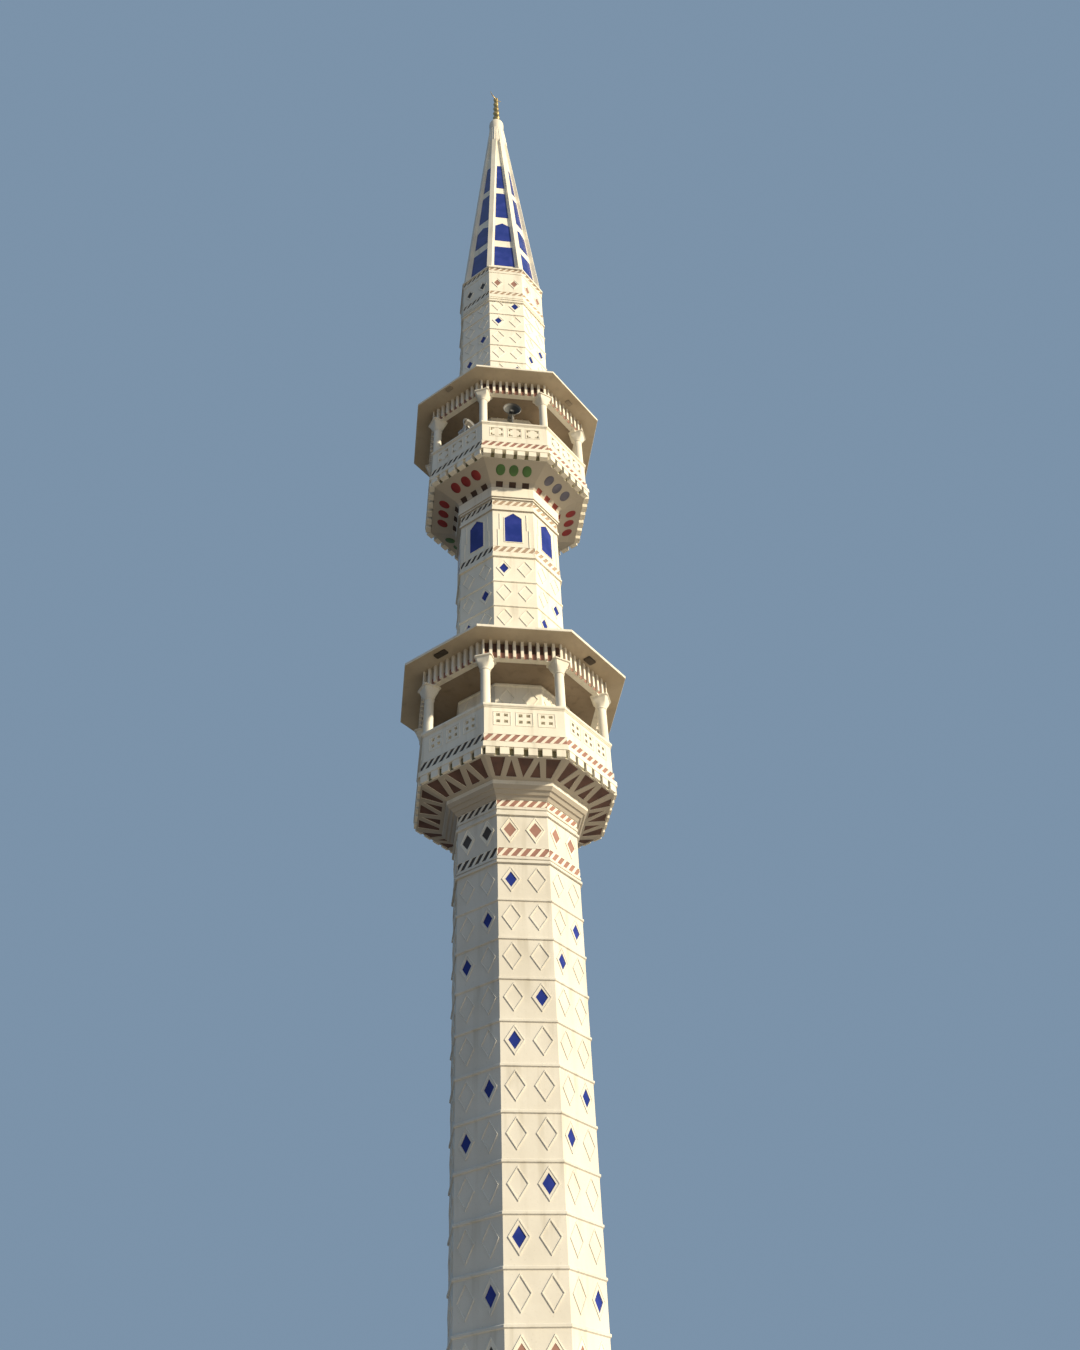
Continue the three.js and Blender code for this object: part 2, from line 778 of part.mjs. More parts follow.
// Finial: two thick strands twisted round each other like a rope, thinner towards the tip.
const rope = {
  rings: 27,
  points: 12,
  turn: real(780),
  footRadius: real(138),
  tipRadius: real(86),
  endShare: 0.72,
  waistShare: 0.66,
};

function finialRope() {
  const foot = level.capTop + gap;
  const height = level.finialTop - foot;
  const corners = [[0, 0, foot]];
  const faces = [];
  for (let ring = 0; ring < rope.rings; ring += 1) {
    const share = ring / (rope.rings - 1);
    const z = foot + height * share;
    const pinch = ring === 0 || ring === rope.rings - 1 ? rope.endShare : 1;
    const radius = pinch * (rope.footRadius + (rope.tipRadius - rope.footRadius) * share);
    const twist = (-2 * Math.PI * (z - foot)) / rope.turn;
    for (let number = 0; number < rope.points; number += 1) {
      const angle = (2 * Math.PI * number) / rope.points;
      const r = radius * (rope.waistShare + (1 - rope.waistShare) * Math.cos(angle) ** 2);
      corners.push([r * Math.cos(angle + twist), r * Math.sin(angle + twist), z]);
    }
  }
  corners.push([0, 0, level.finialTop]);
  const last = corners.length - 1;
  for (let number = 0; number < rope.points; number += 1) {
    const next = (number + 1) % rope.points;
    faces.push(0, 1 + next, 1 + number);
    faces.push(last, last - rope.points + number, last - rope.points + next);
    for (let ring = 1; ring < rope.rings; ring += 1) {
      const low = 1 + (ring - 1) * rope.points;
      const high = low + rope.points;
      faces.push(low + number, low + next, high + next);
      faces.push(low + number, high + next, high + number);
    }
  }
  const geometry = new THREE.BufferGeometry();
  geometry.setAttribute('position', new THREE.Float32BufferAttribute(corners.flat(), 3));
  geometry.setIndex(faces);
  return solidOf(geometry);
}

// Crescent: a thin open moon with its tips up, on a short collar over the finial.
const moon = { radius: real(290), span: 1.43, thick: real(62), thin: real(14), plate: real(40), turn: 0.66 };

function crescentMoon() {
  const steps = 12;
  const foot = level.finialTop + gap;
  const centre = foot + moon.radius + real(14);
  const outer = [];
  const inner = [];
  for (let step = 0; step <= steps; step += 1) {
    const share = (2 * step) / steps - 1;
    const angle = moon.span * share;
    const width = moon.thin + (moon.thick - moon.thin) * Math.cos((share * Math.PI) / 2);
    const near = moon.radius - width;
    outer.push(new THREE.Vector2(moon.radius * Math.sin(angle), -moon.radius * Math.cos(angle)));
    inner.unshift(new THREE.Vector2(near * Math.sin(angle), -near * Math.cos(angle)));
  }
  const shape = new THREE.Shape([...outer, ...inner]);
  const plate = new THREE.ExtrudeGeometry(shape, { depth: moon.plate, bevelEnabled: false });
  plate.rotateX(Math.PI / 2);
  plate.translate(0, moon.plate / 2, centre);
  plate.rotateZ(moon.turn);
  const collarTop = foot + real(34);
  const collar = roundPart([[0, foot], [real(34), foot], [real(26), collarTop], [0, collarTop]], 8);
  return solidOf(plate).add(collar);
}

addPart('spire_cap', spireCap(), colour.plaster);
addPart('finial', finialRope(), colour.gilt);
addPart('crescent', crescentMoon(), colour.gilt);

// Two horn loudspeakers over the upper handrail: a flared bell with a blunt plug in its mouth and
// the driver at the rear, on a post that stands on the handrail.
const hornOutside = [
  [0, 0], [232, 0], [236, 12], [170, 72], [114, 142], [80, 212], [64, 268], [84, 276], [84, 384],
  [66, 400], [0, 400],
];
const hornInside = [
  [0, -20], [224, -20], [224, 2], [156, 66], [100, 136], [66, 206], [50, 262], [38, 262], [38, 200], [64, 78],
  [54, 48], [0, 40],
];

function horn(mouth, turn, post) {
  const lengths = (points) => points.map(([r, back]) => [real(r), real(back)]);
  const place = (solid) => solid.rotate([-90, 0, 0]).rotate([0, 0, turn]).translate(mouth);
  const segments = 16;
  const bell = place(roundPart(lengths(hornOutside), segments));
  const hollow = place(roundPart(lengths(hornInside), segments));
  const postFoot = level.upperFloor + balcony.handrailTop + gap;
  const postTop = mouth[2] - real(140);
  const stem = new THREE.CylinderGeometry(real(20), real(20), postTop - postFoot, 8);
  stem.rotateX(Math.PI / 2);
  stem.translate(post[0], post[1], (postTop + postFoot) / 2);
  const shoe = box(real(90), real(90), real(14), post[0], post[1], postFoot);
  return bell.add(solidOf(stem)).add(solidOf(shoe)).subtract(hollow);
}

const frontMouth = [real(-37), real(-1960), level.upperFloor + real(1659)];
const leftMouth = [real(-1075), real(-1421), level.upperFloor + real(1505)];
addPart('horn_front', horn(frontMouth, 0, [real(-37), real(-1925)]), colour.horn);
addPart('horn_left', horn(leftMouth, 36, [real(-1218), real(-1514)]), colour.horn);

export default minaret;
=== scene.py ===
import math

import bpy
import numpy as np
from mathutils import Matrix


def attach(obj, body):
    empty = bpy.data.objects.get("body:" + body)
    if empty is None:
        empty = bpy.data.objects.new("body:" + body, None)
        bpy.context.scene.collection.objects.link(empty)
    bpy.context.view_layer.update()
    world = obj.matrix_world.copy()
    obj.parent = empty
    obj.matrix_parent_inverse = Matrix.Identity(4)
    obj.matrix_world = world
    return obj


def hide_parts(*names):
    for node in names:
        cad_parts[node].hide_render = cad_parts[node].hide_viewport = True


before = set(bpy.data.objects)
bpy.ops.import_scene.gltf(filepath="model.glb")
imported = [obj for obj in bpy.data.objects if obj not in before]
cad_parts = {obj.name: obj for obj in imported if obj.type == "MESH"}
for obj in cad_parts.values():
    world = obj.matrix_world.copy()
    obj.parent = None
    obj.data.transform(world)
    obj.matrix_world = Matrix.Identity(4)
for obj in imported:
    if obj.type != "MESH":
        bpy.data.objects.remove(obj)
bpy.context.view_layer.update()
print("minaret: frame loaded")

# Lengths below are the real tower's, in millimetres. The model is half that size, in metres.
modelScale = 0.0005
eighth = math.pi / 4
spread = math.tan(eighth / 2)  # half a face's width for each unit out from the axis
slant = math.cos(eighth / 2)  # a face's distance for each unit of its corner's radius
everyFace = np.arange(8)
# face 7's black ornament is painted shade for the side in shade, and face 3 opposite has the same
shadeBlackFaces = (3, 7)  # the faces whose ornament is painted black
shaftRadius = 1306.56
shaftFlat = shaftRadius * slant
gap = 0.6  # left between a piece and the one it stands on
sink = 2  # how far trim reaches into what is behind it

tower = {
    "tier": 780,
    "lowerShaftTop": 13460,
    "middleTiersTop": 21732,
    "topTiersTop": 32660,
    "lowerFloor": 15690,
    "upperFloor": 24800,
}


# Meshes: a piece gathers points, faces and the number of each face's paint

def onFace(face, across, out, up):
    # a face's own directions turned about the axis by its number of eighths
    turn = np.asarray(face, float) * eighth
    across, out, up, turn = np.broadcast_arrays(across, out, up, turn)
    x = across * np.cos(turn) + out * np.sin(turn)
    y = across * np.sin(turn) - out * np.cos(turn)
    return np.stack([x, y, up], axis=-1)


def newPiece():
    # nothing gathered yet; the count is that of the points
    return {"points": [], "faces": [], "paints": [], "count": 0}


def addFaces(piece, points, faces, paint=0):
    # faces are arrays of rows, each array with its own number of corners
    points = np.reshape(points, (-1, 3))
    for some in faces:
        piece["faces"].append(np.asarray(some) + piece["count"])
        piece["paints"].append(np.full(len(some), paint))
    piece["points"].append(points)
    piece["count"] += len(points)


def gridQuads(columns, rows, roundWay, closedWay):
    # the quads of a grid of points, whose columns can close round and whose rows can close too
    i = np.arange(columns if roundWay else columns - 1)[:, None]
    j = np.arange(rows if closedWay else rows - 1)
    on, up = (i + 1) % columns, (j + 1) % rows
    return np.stack([i * rows + j, on * rows + j, on * rows + up, i * rows + up], axis=-1).reshape(-1, 4)


def prismFaces(count, corners):
    # the ends and sides of prisms whose points are the outline of one end and then of the other,
    # anticlockwise when the first end is looked at
    ring = np.arange(corners)
    after = np.roll(ring, -1)
    start = np.arange(count)[:, None] * 2 * corners
    sides = np.stack([ring, ring + corners, after + corners, after], axis=1)
    return [start + ring, start + corners + ring[::-1], (start[:, :, None] + sides).reshape(-1, 4)]


def tubeFaces(around, rows):
    # a grid closed round an axis, with a fan at each end on one of the two points that follow it
    ring = np.arange(around)
    on = np.roll(ring, -1)
    foot = np.stack([np.full(around, around * rows), on * rows, ring * rows], axis=1)
    tip = np.stack([np.full(around, around * rows + 1), (ring + 1) * rows - 1, (on + 1) * rows - 1], axis=1)
    return [gridQuads(around, rows, True, False), foot, tip]


def outlineAt(places, outline, out):
    # an outline of [across, up] at every place, which is a row of face, across and up
    return onFace(places[:, :1], outline[:, 0] + places[:, 1:2], out, outline[:, 1] + places[:, 2:3])


def addPrisms(piece, outline, places, front, back, paint=0, inset=0.0):
    # an outline pushed along the face from back to front, its front drawn in by the inset
    middle = outline.mean(axis=0)
    reach = np.abs(outline - middle).max(axis=0)
    nearer = middle + (outline - middle) * (1 - inset / reach)
    ends = [outlineAt(places, nearer, front), outlineAt(places, outline, back)]
    addFaces(piece, np.concatenate(ends, axis=1), prismFaces(len(places), len(outline)), paint)


def addFrames(piece, loops, places):
    # a moulding round an opening: loops of [outline, out] from its outer foot over its front to
    # its inner foot, closed behind
    points = np.stack([outlineAt(places, outline, out) for outline, out in loops], axis=1)
    count, layers, corners = points.shape[:3]
    outwards = gridQuads(layers, corners, True, True)[:, [0, 3, 2, 1]]
    start = np.arange(count)[:, None, None] * layers * corners
    addFaces(piece, points, [(start + outwards).reshape(-1, 4)])


def addRing(piece, section):
    # an eight-sided moulding round the tower: a closed section of [out, up], anticlockwise, where
    # out is the distance of its flat side
    section = np.asarray(section, float)
    radius = section[:, 0] / slant
    turn = (everyFace + 0.5)[:, None] * eighth
    points = np.stack([radius * np.sin(turn), -radius * np.cos(turn), section[:, 1] + 0 * turn], axis=-1)
    addFaces(piece, points, [gridQuads(8, len(section), True, True)])


def anglesRound(count, first=0.0):
    # a column of even angles, where the first can lie part of a step on
    return (np.arange(count)[:, None] + first) * 2 * math.pi / count


def addTurned(piece, profile, count, place=np.eye(4), paint=0, rowPaints=None):
    # a profile of [radius, height] turned about its axis, and then moved by a 4 x 4 matrix
    radius, height = np.array(profile, float).T
    turn = anglesRound(count)
    points = np.stack([radius * np.cos(turn), radius * np.sin(turn), height + 0 * turn], axis=-1)
    points = np.concatenate([points.reshape(-1, 3), [[0, 0, height[0]], [0, 0, height[-1]]]])
    points = points @ place[:3, :3].T + place[:3, 3]
    addFaces(piece, points, tubeFaces(count, len(profile)), paint)
    if rowPaints is not None:
        piece["paints"][-3] = np.tile(rowPaints, count)


def addBeams(piece, section, places, half, paint=0):
    # a section of [out, up], anticlockwise, carried along the face for half its length each way
    section = np.asarray(section, float)
    ends = []
    for side in (-1, 1):
        across, up = places[:, 1:2] + side * half, section[:, 1] + places[:, 2:3]
        ends.append(onFace(places[:, :1], across, section[:, 0], up))
    addFaces(piece, np.concatenate(ends, axis=1), prismFaces(len(places), len(section)), paint)


def newObject(name, piece, materials, smooth=None):
    # flat faces, or smooth ones with the edges over an angle left sharp
    points = np.concatenate(piece["points"]) * modelScale
    loops = np.concatenate([faces.ravel() for faces in piece["faces"]])
    sizes = np.concatenate([np.full(len(faces), faces.shape[1]) for faces in piece["faces"]])
    mesh = bpy.data.meshes.new(name)
    mesh.vertices.add(len(points))
    mesh.vertices.foreach_set("co", points.ravel())
    mesh.loops.add(len(loops))
    mesh.loops.foreach_set("vertex_index", loops)
    mesh.polygons.add(len(sizes))
    mesh.polygons.foreach_set("loop_start", np.cumsum(sizes) - sizes)
    mesh.polygons.foreach_set("material_index", np.concatenate(piece["paints"]))
    mesh.update(calc_edges=True)
    mesh.validate()
    for material in materials:
        mesh.materials.append(material)
    made = bpy.data.objects.new(name, mesh)
    bpy.context.scene.collection.objects.link(made)
    mesh.polygons.foreach_set("use_smooth", np.full(len(sizes), smooth is not None))
    if smooth is not None:
        mesh.set_sharp_from_angle(angle=math.radians(smooth))
    return made


def finishPiece(name, piece, materials, instead=(), smooth=None):
    # instead: the nodes whose place the piece takes
    made = newObject(name, piece, materials, smooth)
    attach(made, "root")
    if instead:
        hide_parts(*instead)


def diamond(halfWidth, halfHeight):
    # anticlockwise, as every outline here
    return np.array([[-halfWidth, 0], [0, -halfHeight], [halfWidth, 0], [0, halfHeight]], float)


def rectangle(left, right, low, high):
    return np.array([[left, low], [right, low], [right, high], [left, high]], float)


def clipAcross(outline, half):
    # what is left of an outline between the two edges of a face
    for side in (-1, 1):
        kept = []
        for here, on in zip(outline, [*outline[1:], outline[0]]):
            inHere, inOn = side * here[0] <= half, side * on[0] <= half
            if inHere:
                kept.append(here)
            if inHere != inOn:
                share = (side * half - here[0]) / (on[0] - here[0])
                kept.append([side * half, here[1] + share * (on[1] - here[1])])
        outline = kept
        if len(outline) < 3:
            return None
    return np.array(outline, float)


def addSlab(piece, rows, outline, face, across, out, floor):
    # an outline of [across, in] laid flat, once for each row of share and height
    layers = []
    for share, up in rows:
        wide, deep = outline.T * share
        layers.append(onFace(face, across + wide, out - deep, floor + up))
    low = np.arange(len(outline)) * len(rows)
    quads = gridQuads(len(outline), len(rows), True, False)
    addFaces(piece, np.stack(layers, axis=1), [quads, low[None, ::-1], (low + len(rows) - 1)[None, :]])


def placeOf(side, normal, origin, stretch=1):
    # a 4 x 4 matrix from its first and third axes and its origin
    place = np.eye(4)
    place[:3] = np.stack([side, np.cross(normal, side) * stretch, normal, origin], axis=1)
    return place


def cutSquare(half, deep, cut):
    # a rectangle with its corners cut off
    return np.array([[-half, -deep + cut], [-half + cut, -deep], [half - cut, -deep], [half, -deep + cut],
                     [half, deep - cut], [half - cut, deep], [-half + cut, deep], [-half, deep - cut]])


def facePlaces(faces, across=(0,), up=(0,)):
    # a row of face, across and up for every mix of the three
    grid = np.meshgrid(faces, across, up, indexing="ij")
    return np.stack(grid, axis=-1).reshape(-1, 3)


faceMiddles = facePlaces(everyFace)


# Materials

def wire(tree, kind, inputs=None, **settings):
    # a new node, its inputs linked to sockets or set to values
    node = tree.nodes.new(kind)
    for key, value in settings.items():
        setattr(node, key, value)
    for key, value in (inputs or {}).items():
        if isinstance(value, bpy.types.NodeSocket):
            tree.links.new(value, node.inputs[key])
        else:
            node.inputs[key].default_value = value
    return node


def newMaterial(name, roughness, metallic=0.0):
    # an empty finish, and the Object coordinates that its patterns read
    material = bpy.data.materials.new(name)
    material.use_nodes = True
    tree = material.node_tree
    shader = tree.nodes["Principled BSDF"]
    shader.inputs["Roughness"].default_value = roughness
    shader.inputs["Metallic"].default_value = metallic
    place = wire(tree, "ShaderNodeTexCoord").outputs["Object"]
    return material, tree, shader, place


def cloudOn(tree, place, scale, detail=4.0, stretch=None):
    # noise between 0 and 1, finer along an axis where the stretch is larger
    if stretch:
        place = wire(tree, "ShaderNodeMapping", {0: place, "Scale": stretch}).outputs[0]
    given = {"Vector": place, "Scale": scale, "Detail": detail}
    return wire(tree, "ShaderNodeTexNoise", given).outputs["Fac"]


def shareBetween(tree, value, low, high, toLow=0.0, toHigh=1.0):
    # a smooth step of the value from low to high
    given = {0: value, 1: low, 2: high, 3: toLow, 4: toHigh}
    return wire(tree, "ShaderNodeMapRange", given, interpolation_type="SMOOTHSTEP").outputs[0]


def blendOf(tree, share, first, second):
    # a mix of two colours, each of them fixed or a socket
    given = {0: share}
    for index, colour in ((6, first), (7, second)):
        given[index] = colour if isinstance(colour, bpy.types.NodeSocket) else (*colour, 1.0)
    return wire(tree, "ShaderNodeMix", given, data_type="RGBA").outputs[2]


def maths(tree, operation, *values):
    # one sum of sockets or numbers
    return wire(tree, "ShaderNodeMath", dict(enumerate(values)), operation=operation).outputs[0]


def heightOf(tree, vector):
    # the upright part of a place or a direction
    return wire(tree, "ShaderNodeSeparateXYZ", {0: vector}).outputs["Z"]


def bumpOf(tree, height, strength, distance, over=None):
    # a bump, laid over the normal of another one if there is one
    given = {"Height": height, "Strength": strength, "Distance": distance}
    if over:
        given["Normal"] = over
    return wire(tree, "ShaderNodeBump", given).outputs[0]


def layOn(tree, shader, colour, roughness, normal):
    # the finished patterns go into the surface
    for key, socket in (("Base Color", colour), ("Roughness", roughness), ("Normal", normal)):
        tree.links.new(socket, shader.inputs[key])


# noise scales and shares, and depths in model metres
weather = {"cloud": 2.1, "rain": (11.0, 11.0, 0.8), "joint": (1.5, 0.35), "speck": 60.0, "speckShare": 0.25,
           "wear": 7.0, "grain": 190.0, "grainDepth": 0.0008, "dent": 9.0, "dentDepth": 0.004}


def paintedConcrete(name, light, dark, stain, streak=0.35, tiersTop=None, roughness=0.8, under=None):
    # cloudy paint with rain streaks, darker under each joint, over a fine trowelled grain; the
    # sides that look down can be given a darker tone, which is painted shade
    material, tree, shader, place = newMaterial(name, roughness)
    patches = shareBetween(tree, cloudOn(tree, place, weather["cloud"], 6.0), 0.32, 0.7)
    tone = blendOf(tree, patches, dark, light)
    rain = shareBetween(tree, cloudOn(tree, place, 1.0, 5.0, weather["rain"]), 0.5, 0.74, 0.0, streak)
    if tiersTop:
        below = maths(tree, "SUBTRACT", tiersTop * modelScale, heightOf(tree, place))
        below = maths(tree, "FRACT", maths(tree, "DIVIDE", below, tower["tier"] * modelScale))
        rain = maths(tree, "MULTIPLY", rain, shareBetween(tree, below, 0.02, 0.75, *weather["joint"]))
    tone = blendOf(tree, rain, tone, stain)
    # faces that look down are darkened: painted shade
    if under:
        facing = heightOf(tree, wire(tree, "ShaderNodeNewGeometry").outputs["True Normal"])
        tone = blendOf(tree, shareBetween(tree, facing, -0.5, -0.2, 1.0, 0.0), tone, under)
    specks = cloudOn(tree, place, weather["speck"], 3.0)
    specks = shareBetween(tree, specks, 0.62, 0.74, 0.0, weather["speckShare"])
    rough = cloudOn(tree, place, weather["wear"])
    rough = shareBetween(tree, rough, 0.3, 0.7, roughness - 0.08, roughness + 0.1)
    grain = bumpOf(tree, cloudOn(tree, place, weather["grain"], 3.0), 0.25, weather["grainDepth"])
    dents = bumpOf(tree, cloudOn(tree, place, weather["dent"], 2.0), 0.5, weather["dentDepth"], grain)
    layOn(tree, shader, blendOf(tree, specks, tone, stain), rough, dents)
    return material


def flatPaint(name, light, dark, roughness=0.7, scale=9.0, metallic=0.0, bump=0.0006):
    # one paint, uneven in tone and thin in places
    material, tree, shader, place = newMaterial(name, roughness, metallic)
    patches = shareBetween(tree, cloudOn(tree, place, scale, 6.0), 0.3, 0.7)
    rough = shareBetween(tree, cloudOn(tree, place, scale * 2), 0.3, 0.7, roughness - 0.1, roughness + 0.1)
    skin = bumpOf(tree, cloudOn(tree, place, 160.0, 3.0), 0.3, bump)
    layOn(tree, shader, blendOf(tree, patches, dark, light), rough, skin)
    return material


glazing = {"clean": (0.018, 0.034, 0.22), "dusty": (0.037, 0.054, 0.31), "specular": 0.15,
           "roughness": 0.12, "uneven": (0.07, 0.26), "wave": 6.0, "waveDepth": 0.002}


def blueGlass(name):
    # deep blue sheets with a slow wave, and dust in patches
    material, tree, shader, place = newMaterial(name, glazing["roughness"])
    shader.inputs["Specular IOR Level"].default_value = glazing["specular"]
    dust = shareBetween(tree, cloudOn(tree, place, 5.0, 5.0), 0.4, 0.75)
    rough = shareBetween(tree, cloudOn(tree, place, 14.0), 0.3, 0.75, *glazing["uneven"])
    wave = bumpOf(tree, cloudOn(tree, place, glazing["wave"], 1.0), 0.4, glazing["waveDepth"])
    layOn(tree, shader, blendOf(tree, dust, glazing["clean"], glazing["dusty"]), rough, wave)
    return material


# light, dark and stain of each painted concrete
dullCream = ((0.72, 0.695, 0.635), (0.655, 0.625, 0.56), (0.42, 0.385, 0.31))
cream = ((0.85, 0.815, 0.72), (0.78, 0.74, 0.645), (0.46, 0.42, 0.34))
# paler cream for the top tiers: painted light, for the brighter sky light that far up
paintedLightCream = ((0.90, 0.865, 0.77), (0.83, 0.79, 0.70), (0.5, 0.46, 0.38))
# a darker, warmer cream for the canopy's underside: painted shade
soffitShadeCream = ((0.60, 0.52, 0.40), (0.50, 0.42, 0.31), (0.30, 0.25, 0.18))
# dark brown of the ceiling lining: partly painted shade of the enclosed ceiling
ceilingShadeBrown = ((0.31, 0.245, 0.18), (0.245, 0.19, 0.135), (0.14, 0.10, 0.07))
# dark olive of the board behind the teeth: painted shade in the gaps
teethShade = ((0.20, 0.185, 0.10), (0.15, 0.135, 0.07), (0.08, 0.07, 0.04))

plaster = paintedConcrete("creamPaint", *cream)
lowerTiers = paintedConcrete("creamPaintLowerTiers", *dullCream, tiersTop=tower["lowerShaftTop"])
bandPaint = paintedConcrete("creamPaintLowerBand", *dullCream)
middleTiers = paintedConcrete("creamPaintMiddleTiers", *cream, tiersTop=tower["middleTiersTop"])
topTiers = paintedConcrete("creamPaintTopTiers", *paintedLightCream, tiersTop=tower["topTiersTop"])
soffitShadePaint = paintedConcrete("soffitShadePaint", *soffitShadeCream, streak=0.2)
# the corbels' downward faces are darker: painted shade under them
corbelPaint = paintedConcrete("corbelPaint", *cream, under=(0.46, 0.42, 0.36))
teethShadePaint = paintedConcrete("teethPaintedShade", *teethShade)
ceilingShadePaint = paintedConcrete("ceilingShadePaint", *ceilingShadeBrown, streak=0.4)
brickRed = flatPaint("brickRedPaint", (0.35, 0.185, 0.145), (0.28, 0.14, 0.11))
fadedRed = flatPaint("fadedRedPaint", (0.43, 0.32, 0.235), (0.35, 0.25, 0.18))
# black ornament: painted shade on the shaded face 7, repeated on face 3
shadeBlackPaint = flatPaint("shadeBlackPaint", (0.07, 0.06, 0.055), (0.045, 0.038, 0.034))
# dark red-brown for pockets and recesses: painted shade
deepShade = flatPaint("deepShadeRedBrown", (0.15, 0.085, 0.072), (0.095, 0.055, 0.048), roughness=0.9)
nicheRed = flatPaint("nicheRed", (0.30, 0.06, 0.045), (0.2, 0.035, 0.03))
nicheShade = flatPaint("nicheShade", (0.075, 0.045, 0.035), (0.045, 0.028, 0.022), roughness=0.9)
discGreen = flatPaint("discGreen", (0.075, 0.19, 0.05), (0.05, 0.13, 0.035), roughness=0.5)
discRed = flatPaint("discRed", (0.31, 0.035, 0.035), (0.21, 0.022, 0.025), roughness=0.5)
discBlue = flatPaint("discBlue", (0.145, 0.145, 0.20), (0.10, 0.10, 0.145), roughness=0.5)
glass = blueGlass("blueGlass")
gilt = flatPaint("giltMetal", (0.62, 0.46, 0.19), (0.36, 0.26, 0.10), roughness=0.38, metallic=0.85,
                 bump=0.0003)
hornPale = flatPaint("hornPale", (0.60, 0.61, 0.61), (0.50, 0.51, 0.52), roughness=0.55, metallic=0.1)
# the front horn's dark grey and both horns' dark insides are painted shade
hornShadeGrey = flatPaint("hornShadeGrey", (0.17, 0.17, 0.165), (0.12, 0.12, 0.12), roughness=0.5, metallic=0.1)
hornInsideShade = flatPaint("hornInsideShade", (0.075, 0.08, 0.085), (0.05, 0.055, 0.06), roughness=0.7)
hornLiningShade = flatPaint("hornLiningShade", (0.20, 0.19, 0.175), (0.15, 0.142, 0.13), roughness=0.6)
lampPale = flatPaint("lampPale", (0.38, 0.32, 0.24), (0.30, 0.25, 0.19), roughness=0.5)
lampDark = flatPaint("lampHousing", (0.095, 0.075, 0.055), (0.06, 0.047, 0.036), roughness=0.5, metallic=0.2)
floorPaint = flatPaint("studioFloor", (0.72, 0.70, 0.66), (0.70, 0.68, 0.64), roughness=0.9, scale=0.6)
print("minaret: materials mixed")

# the shaft's nodes have paints of their own, and all the others that of the walls or corbels
shaftNodes = {
    "lower_shaft": lowerTiers,
    "lower_band": bandPaint,
    "lower_door_shaft": middleTiers,
    "middle_shaft": middleTiers,
    "top_shaft": topTiers,
}
for nodeName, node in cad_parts.items():
    paint = shaftNodes.get(nodeName, corbelPaint if nodeName.endswith("_corbel") else plaster)
    node.data.materials.clear()
    node.data.materials.append(paint)


# Shaft: rhombus rims, windows and red diamonds

shaftOrnament = {
    "across": 250,
    "rise": 45,
    "rim": (184, 273),
    "rimWidth": 30,
    "rimSlope": 0.22,  # the share of its width that slopes at each edge
    "rimProud": 15,
    "margin": (158, 233),
    "marginProud": 7,
    "hole": (112, 168),
    "pane": (111, 167),
    "paneDepth": (5, 17),
    "doorTop": 2280,  # the back face is plain from a balcony's floor up to here
}


def tierSpots(top, count, start, doorTop=0):
    # the rhombi of a shaft, as rows of face, across and up, and which of them are windows: a
    # window steps one place to the left with each tier down
    number, face, side = np.meshgrid(np.arange(1, count + 1), everyFace, (0, 1), indexing="ij")
    up = top - (number - 0.5) * tower["tier"] + shaftOrnament["rise"]
    across = np.where(side > 0, 1, -1) * shaftOrnament["across"]
    window = (number + 2 * face + side - start) % 4 == 0
    kept = ~((face == 4) & (up < doorTop))
    rows = np.stack([face, across, up], axis=-1)[kept]
    return rows.reshape(-1, 3), window[kept].ravel()


def addRhombi(piece, places, rows):
    # a moulding round each place, from rows of half width, half height and out from the wall
    addFrames(piece, [(diamond(wide, tall), shaftFlat + out) for wide, tall, out in rows], places)


def addRims(piece, places, halfWidth, halfHeight):
    # a raised rhombus whose two edges slope down to the wall
    wide, slope, proud = shaftOrnament["rimWidth"], shaftOrnament["rimSlope"], shaftOrnament["rimProud"]
    tall = wide * halfHeight / halfWidth
    rows = []
    for share, out in ((0, -sink), (slope, proud), (1 - slope, proud), (1, -sink)):
        rows.append((halfWidth - wide * share, halfHeight - tall * share, out))
    addRhombi(piece, places, rows)


def addMargins(piece, places, outer, hole):
    # the flat ground between a rim and its hole
    proud = shaftOrnament["marginProud"]
    addRhombi(piece, places, [(*outer, -sink), (*outer, proud), (*hole, proud), (*hole, -sink)])


def addPanes(piece, places):
    # a sheet that fills each hole, set back from the wall
    front, back = shaftOrnament["paneDepth"]
    addPrisms(piece, diamond(*shaftOrnament["pane"]), places, shaftFlat - front, shaftFlat - back)


# the top of the tiers, how many there are, where the windows start and the top of the plain part
shaftRows = {
    "lower": tierSpots(tower["lowerShaftTop"], 10, 1),
    "middle": tierSpots(tower["middleTiersTop"], 8, 1, tower["lowerFloor"] + shaftOrnament["doorTop"]),
    "top": tierSpots(tower["topTiersTop"], 10, 2, tower["upperFloor"] + shaftOrnament["doorTop"]),
}
for storey, (places, window) in shaftRows.items():
    rims = newPiece()
    addRims(rims, places, *shaftOrnament["rim"])
    addMargins(rims, places[window], shaftOrnament["margin"], shaftOrnament["hole"])
    finishPiece(f"{storey}_rhombus_rims", rims, [shaftNodes[f"{storey}_shaft"]])
for storey in ("lower", "top"):
    places, window = shaftRows[storey]
    panes = newPiece()
    addPanes(panes, places[window])
    finishPiece(f"{storey}_panes", panes, [glass], [f"{storey}_glass"])


def paintedPlaces(places):
    # the places of the red faces and of the black ones, each with its paint's number
    black = np.isin(places[:, 0], shadeBlackFaces)
    return ((places[~black], 0), (places[black], 1))


redDiamonds = {
    "margin": (28, 44),
    "proud": 1.5,
    # rows of middle, rim and painted part, the last two as half width and half height
    "rows": [
        (5270, (190, 290), (124, 170)),
        (14210, (190, 300), (124, 170)),
        (33530, (170, 265), (104, 175)),
    ],
}


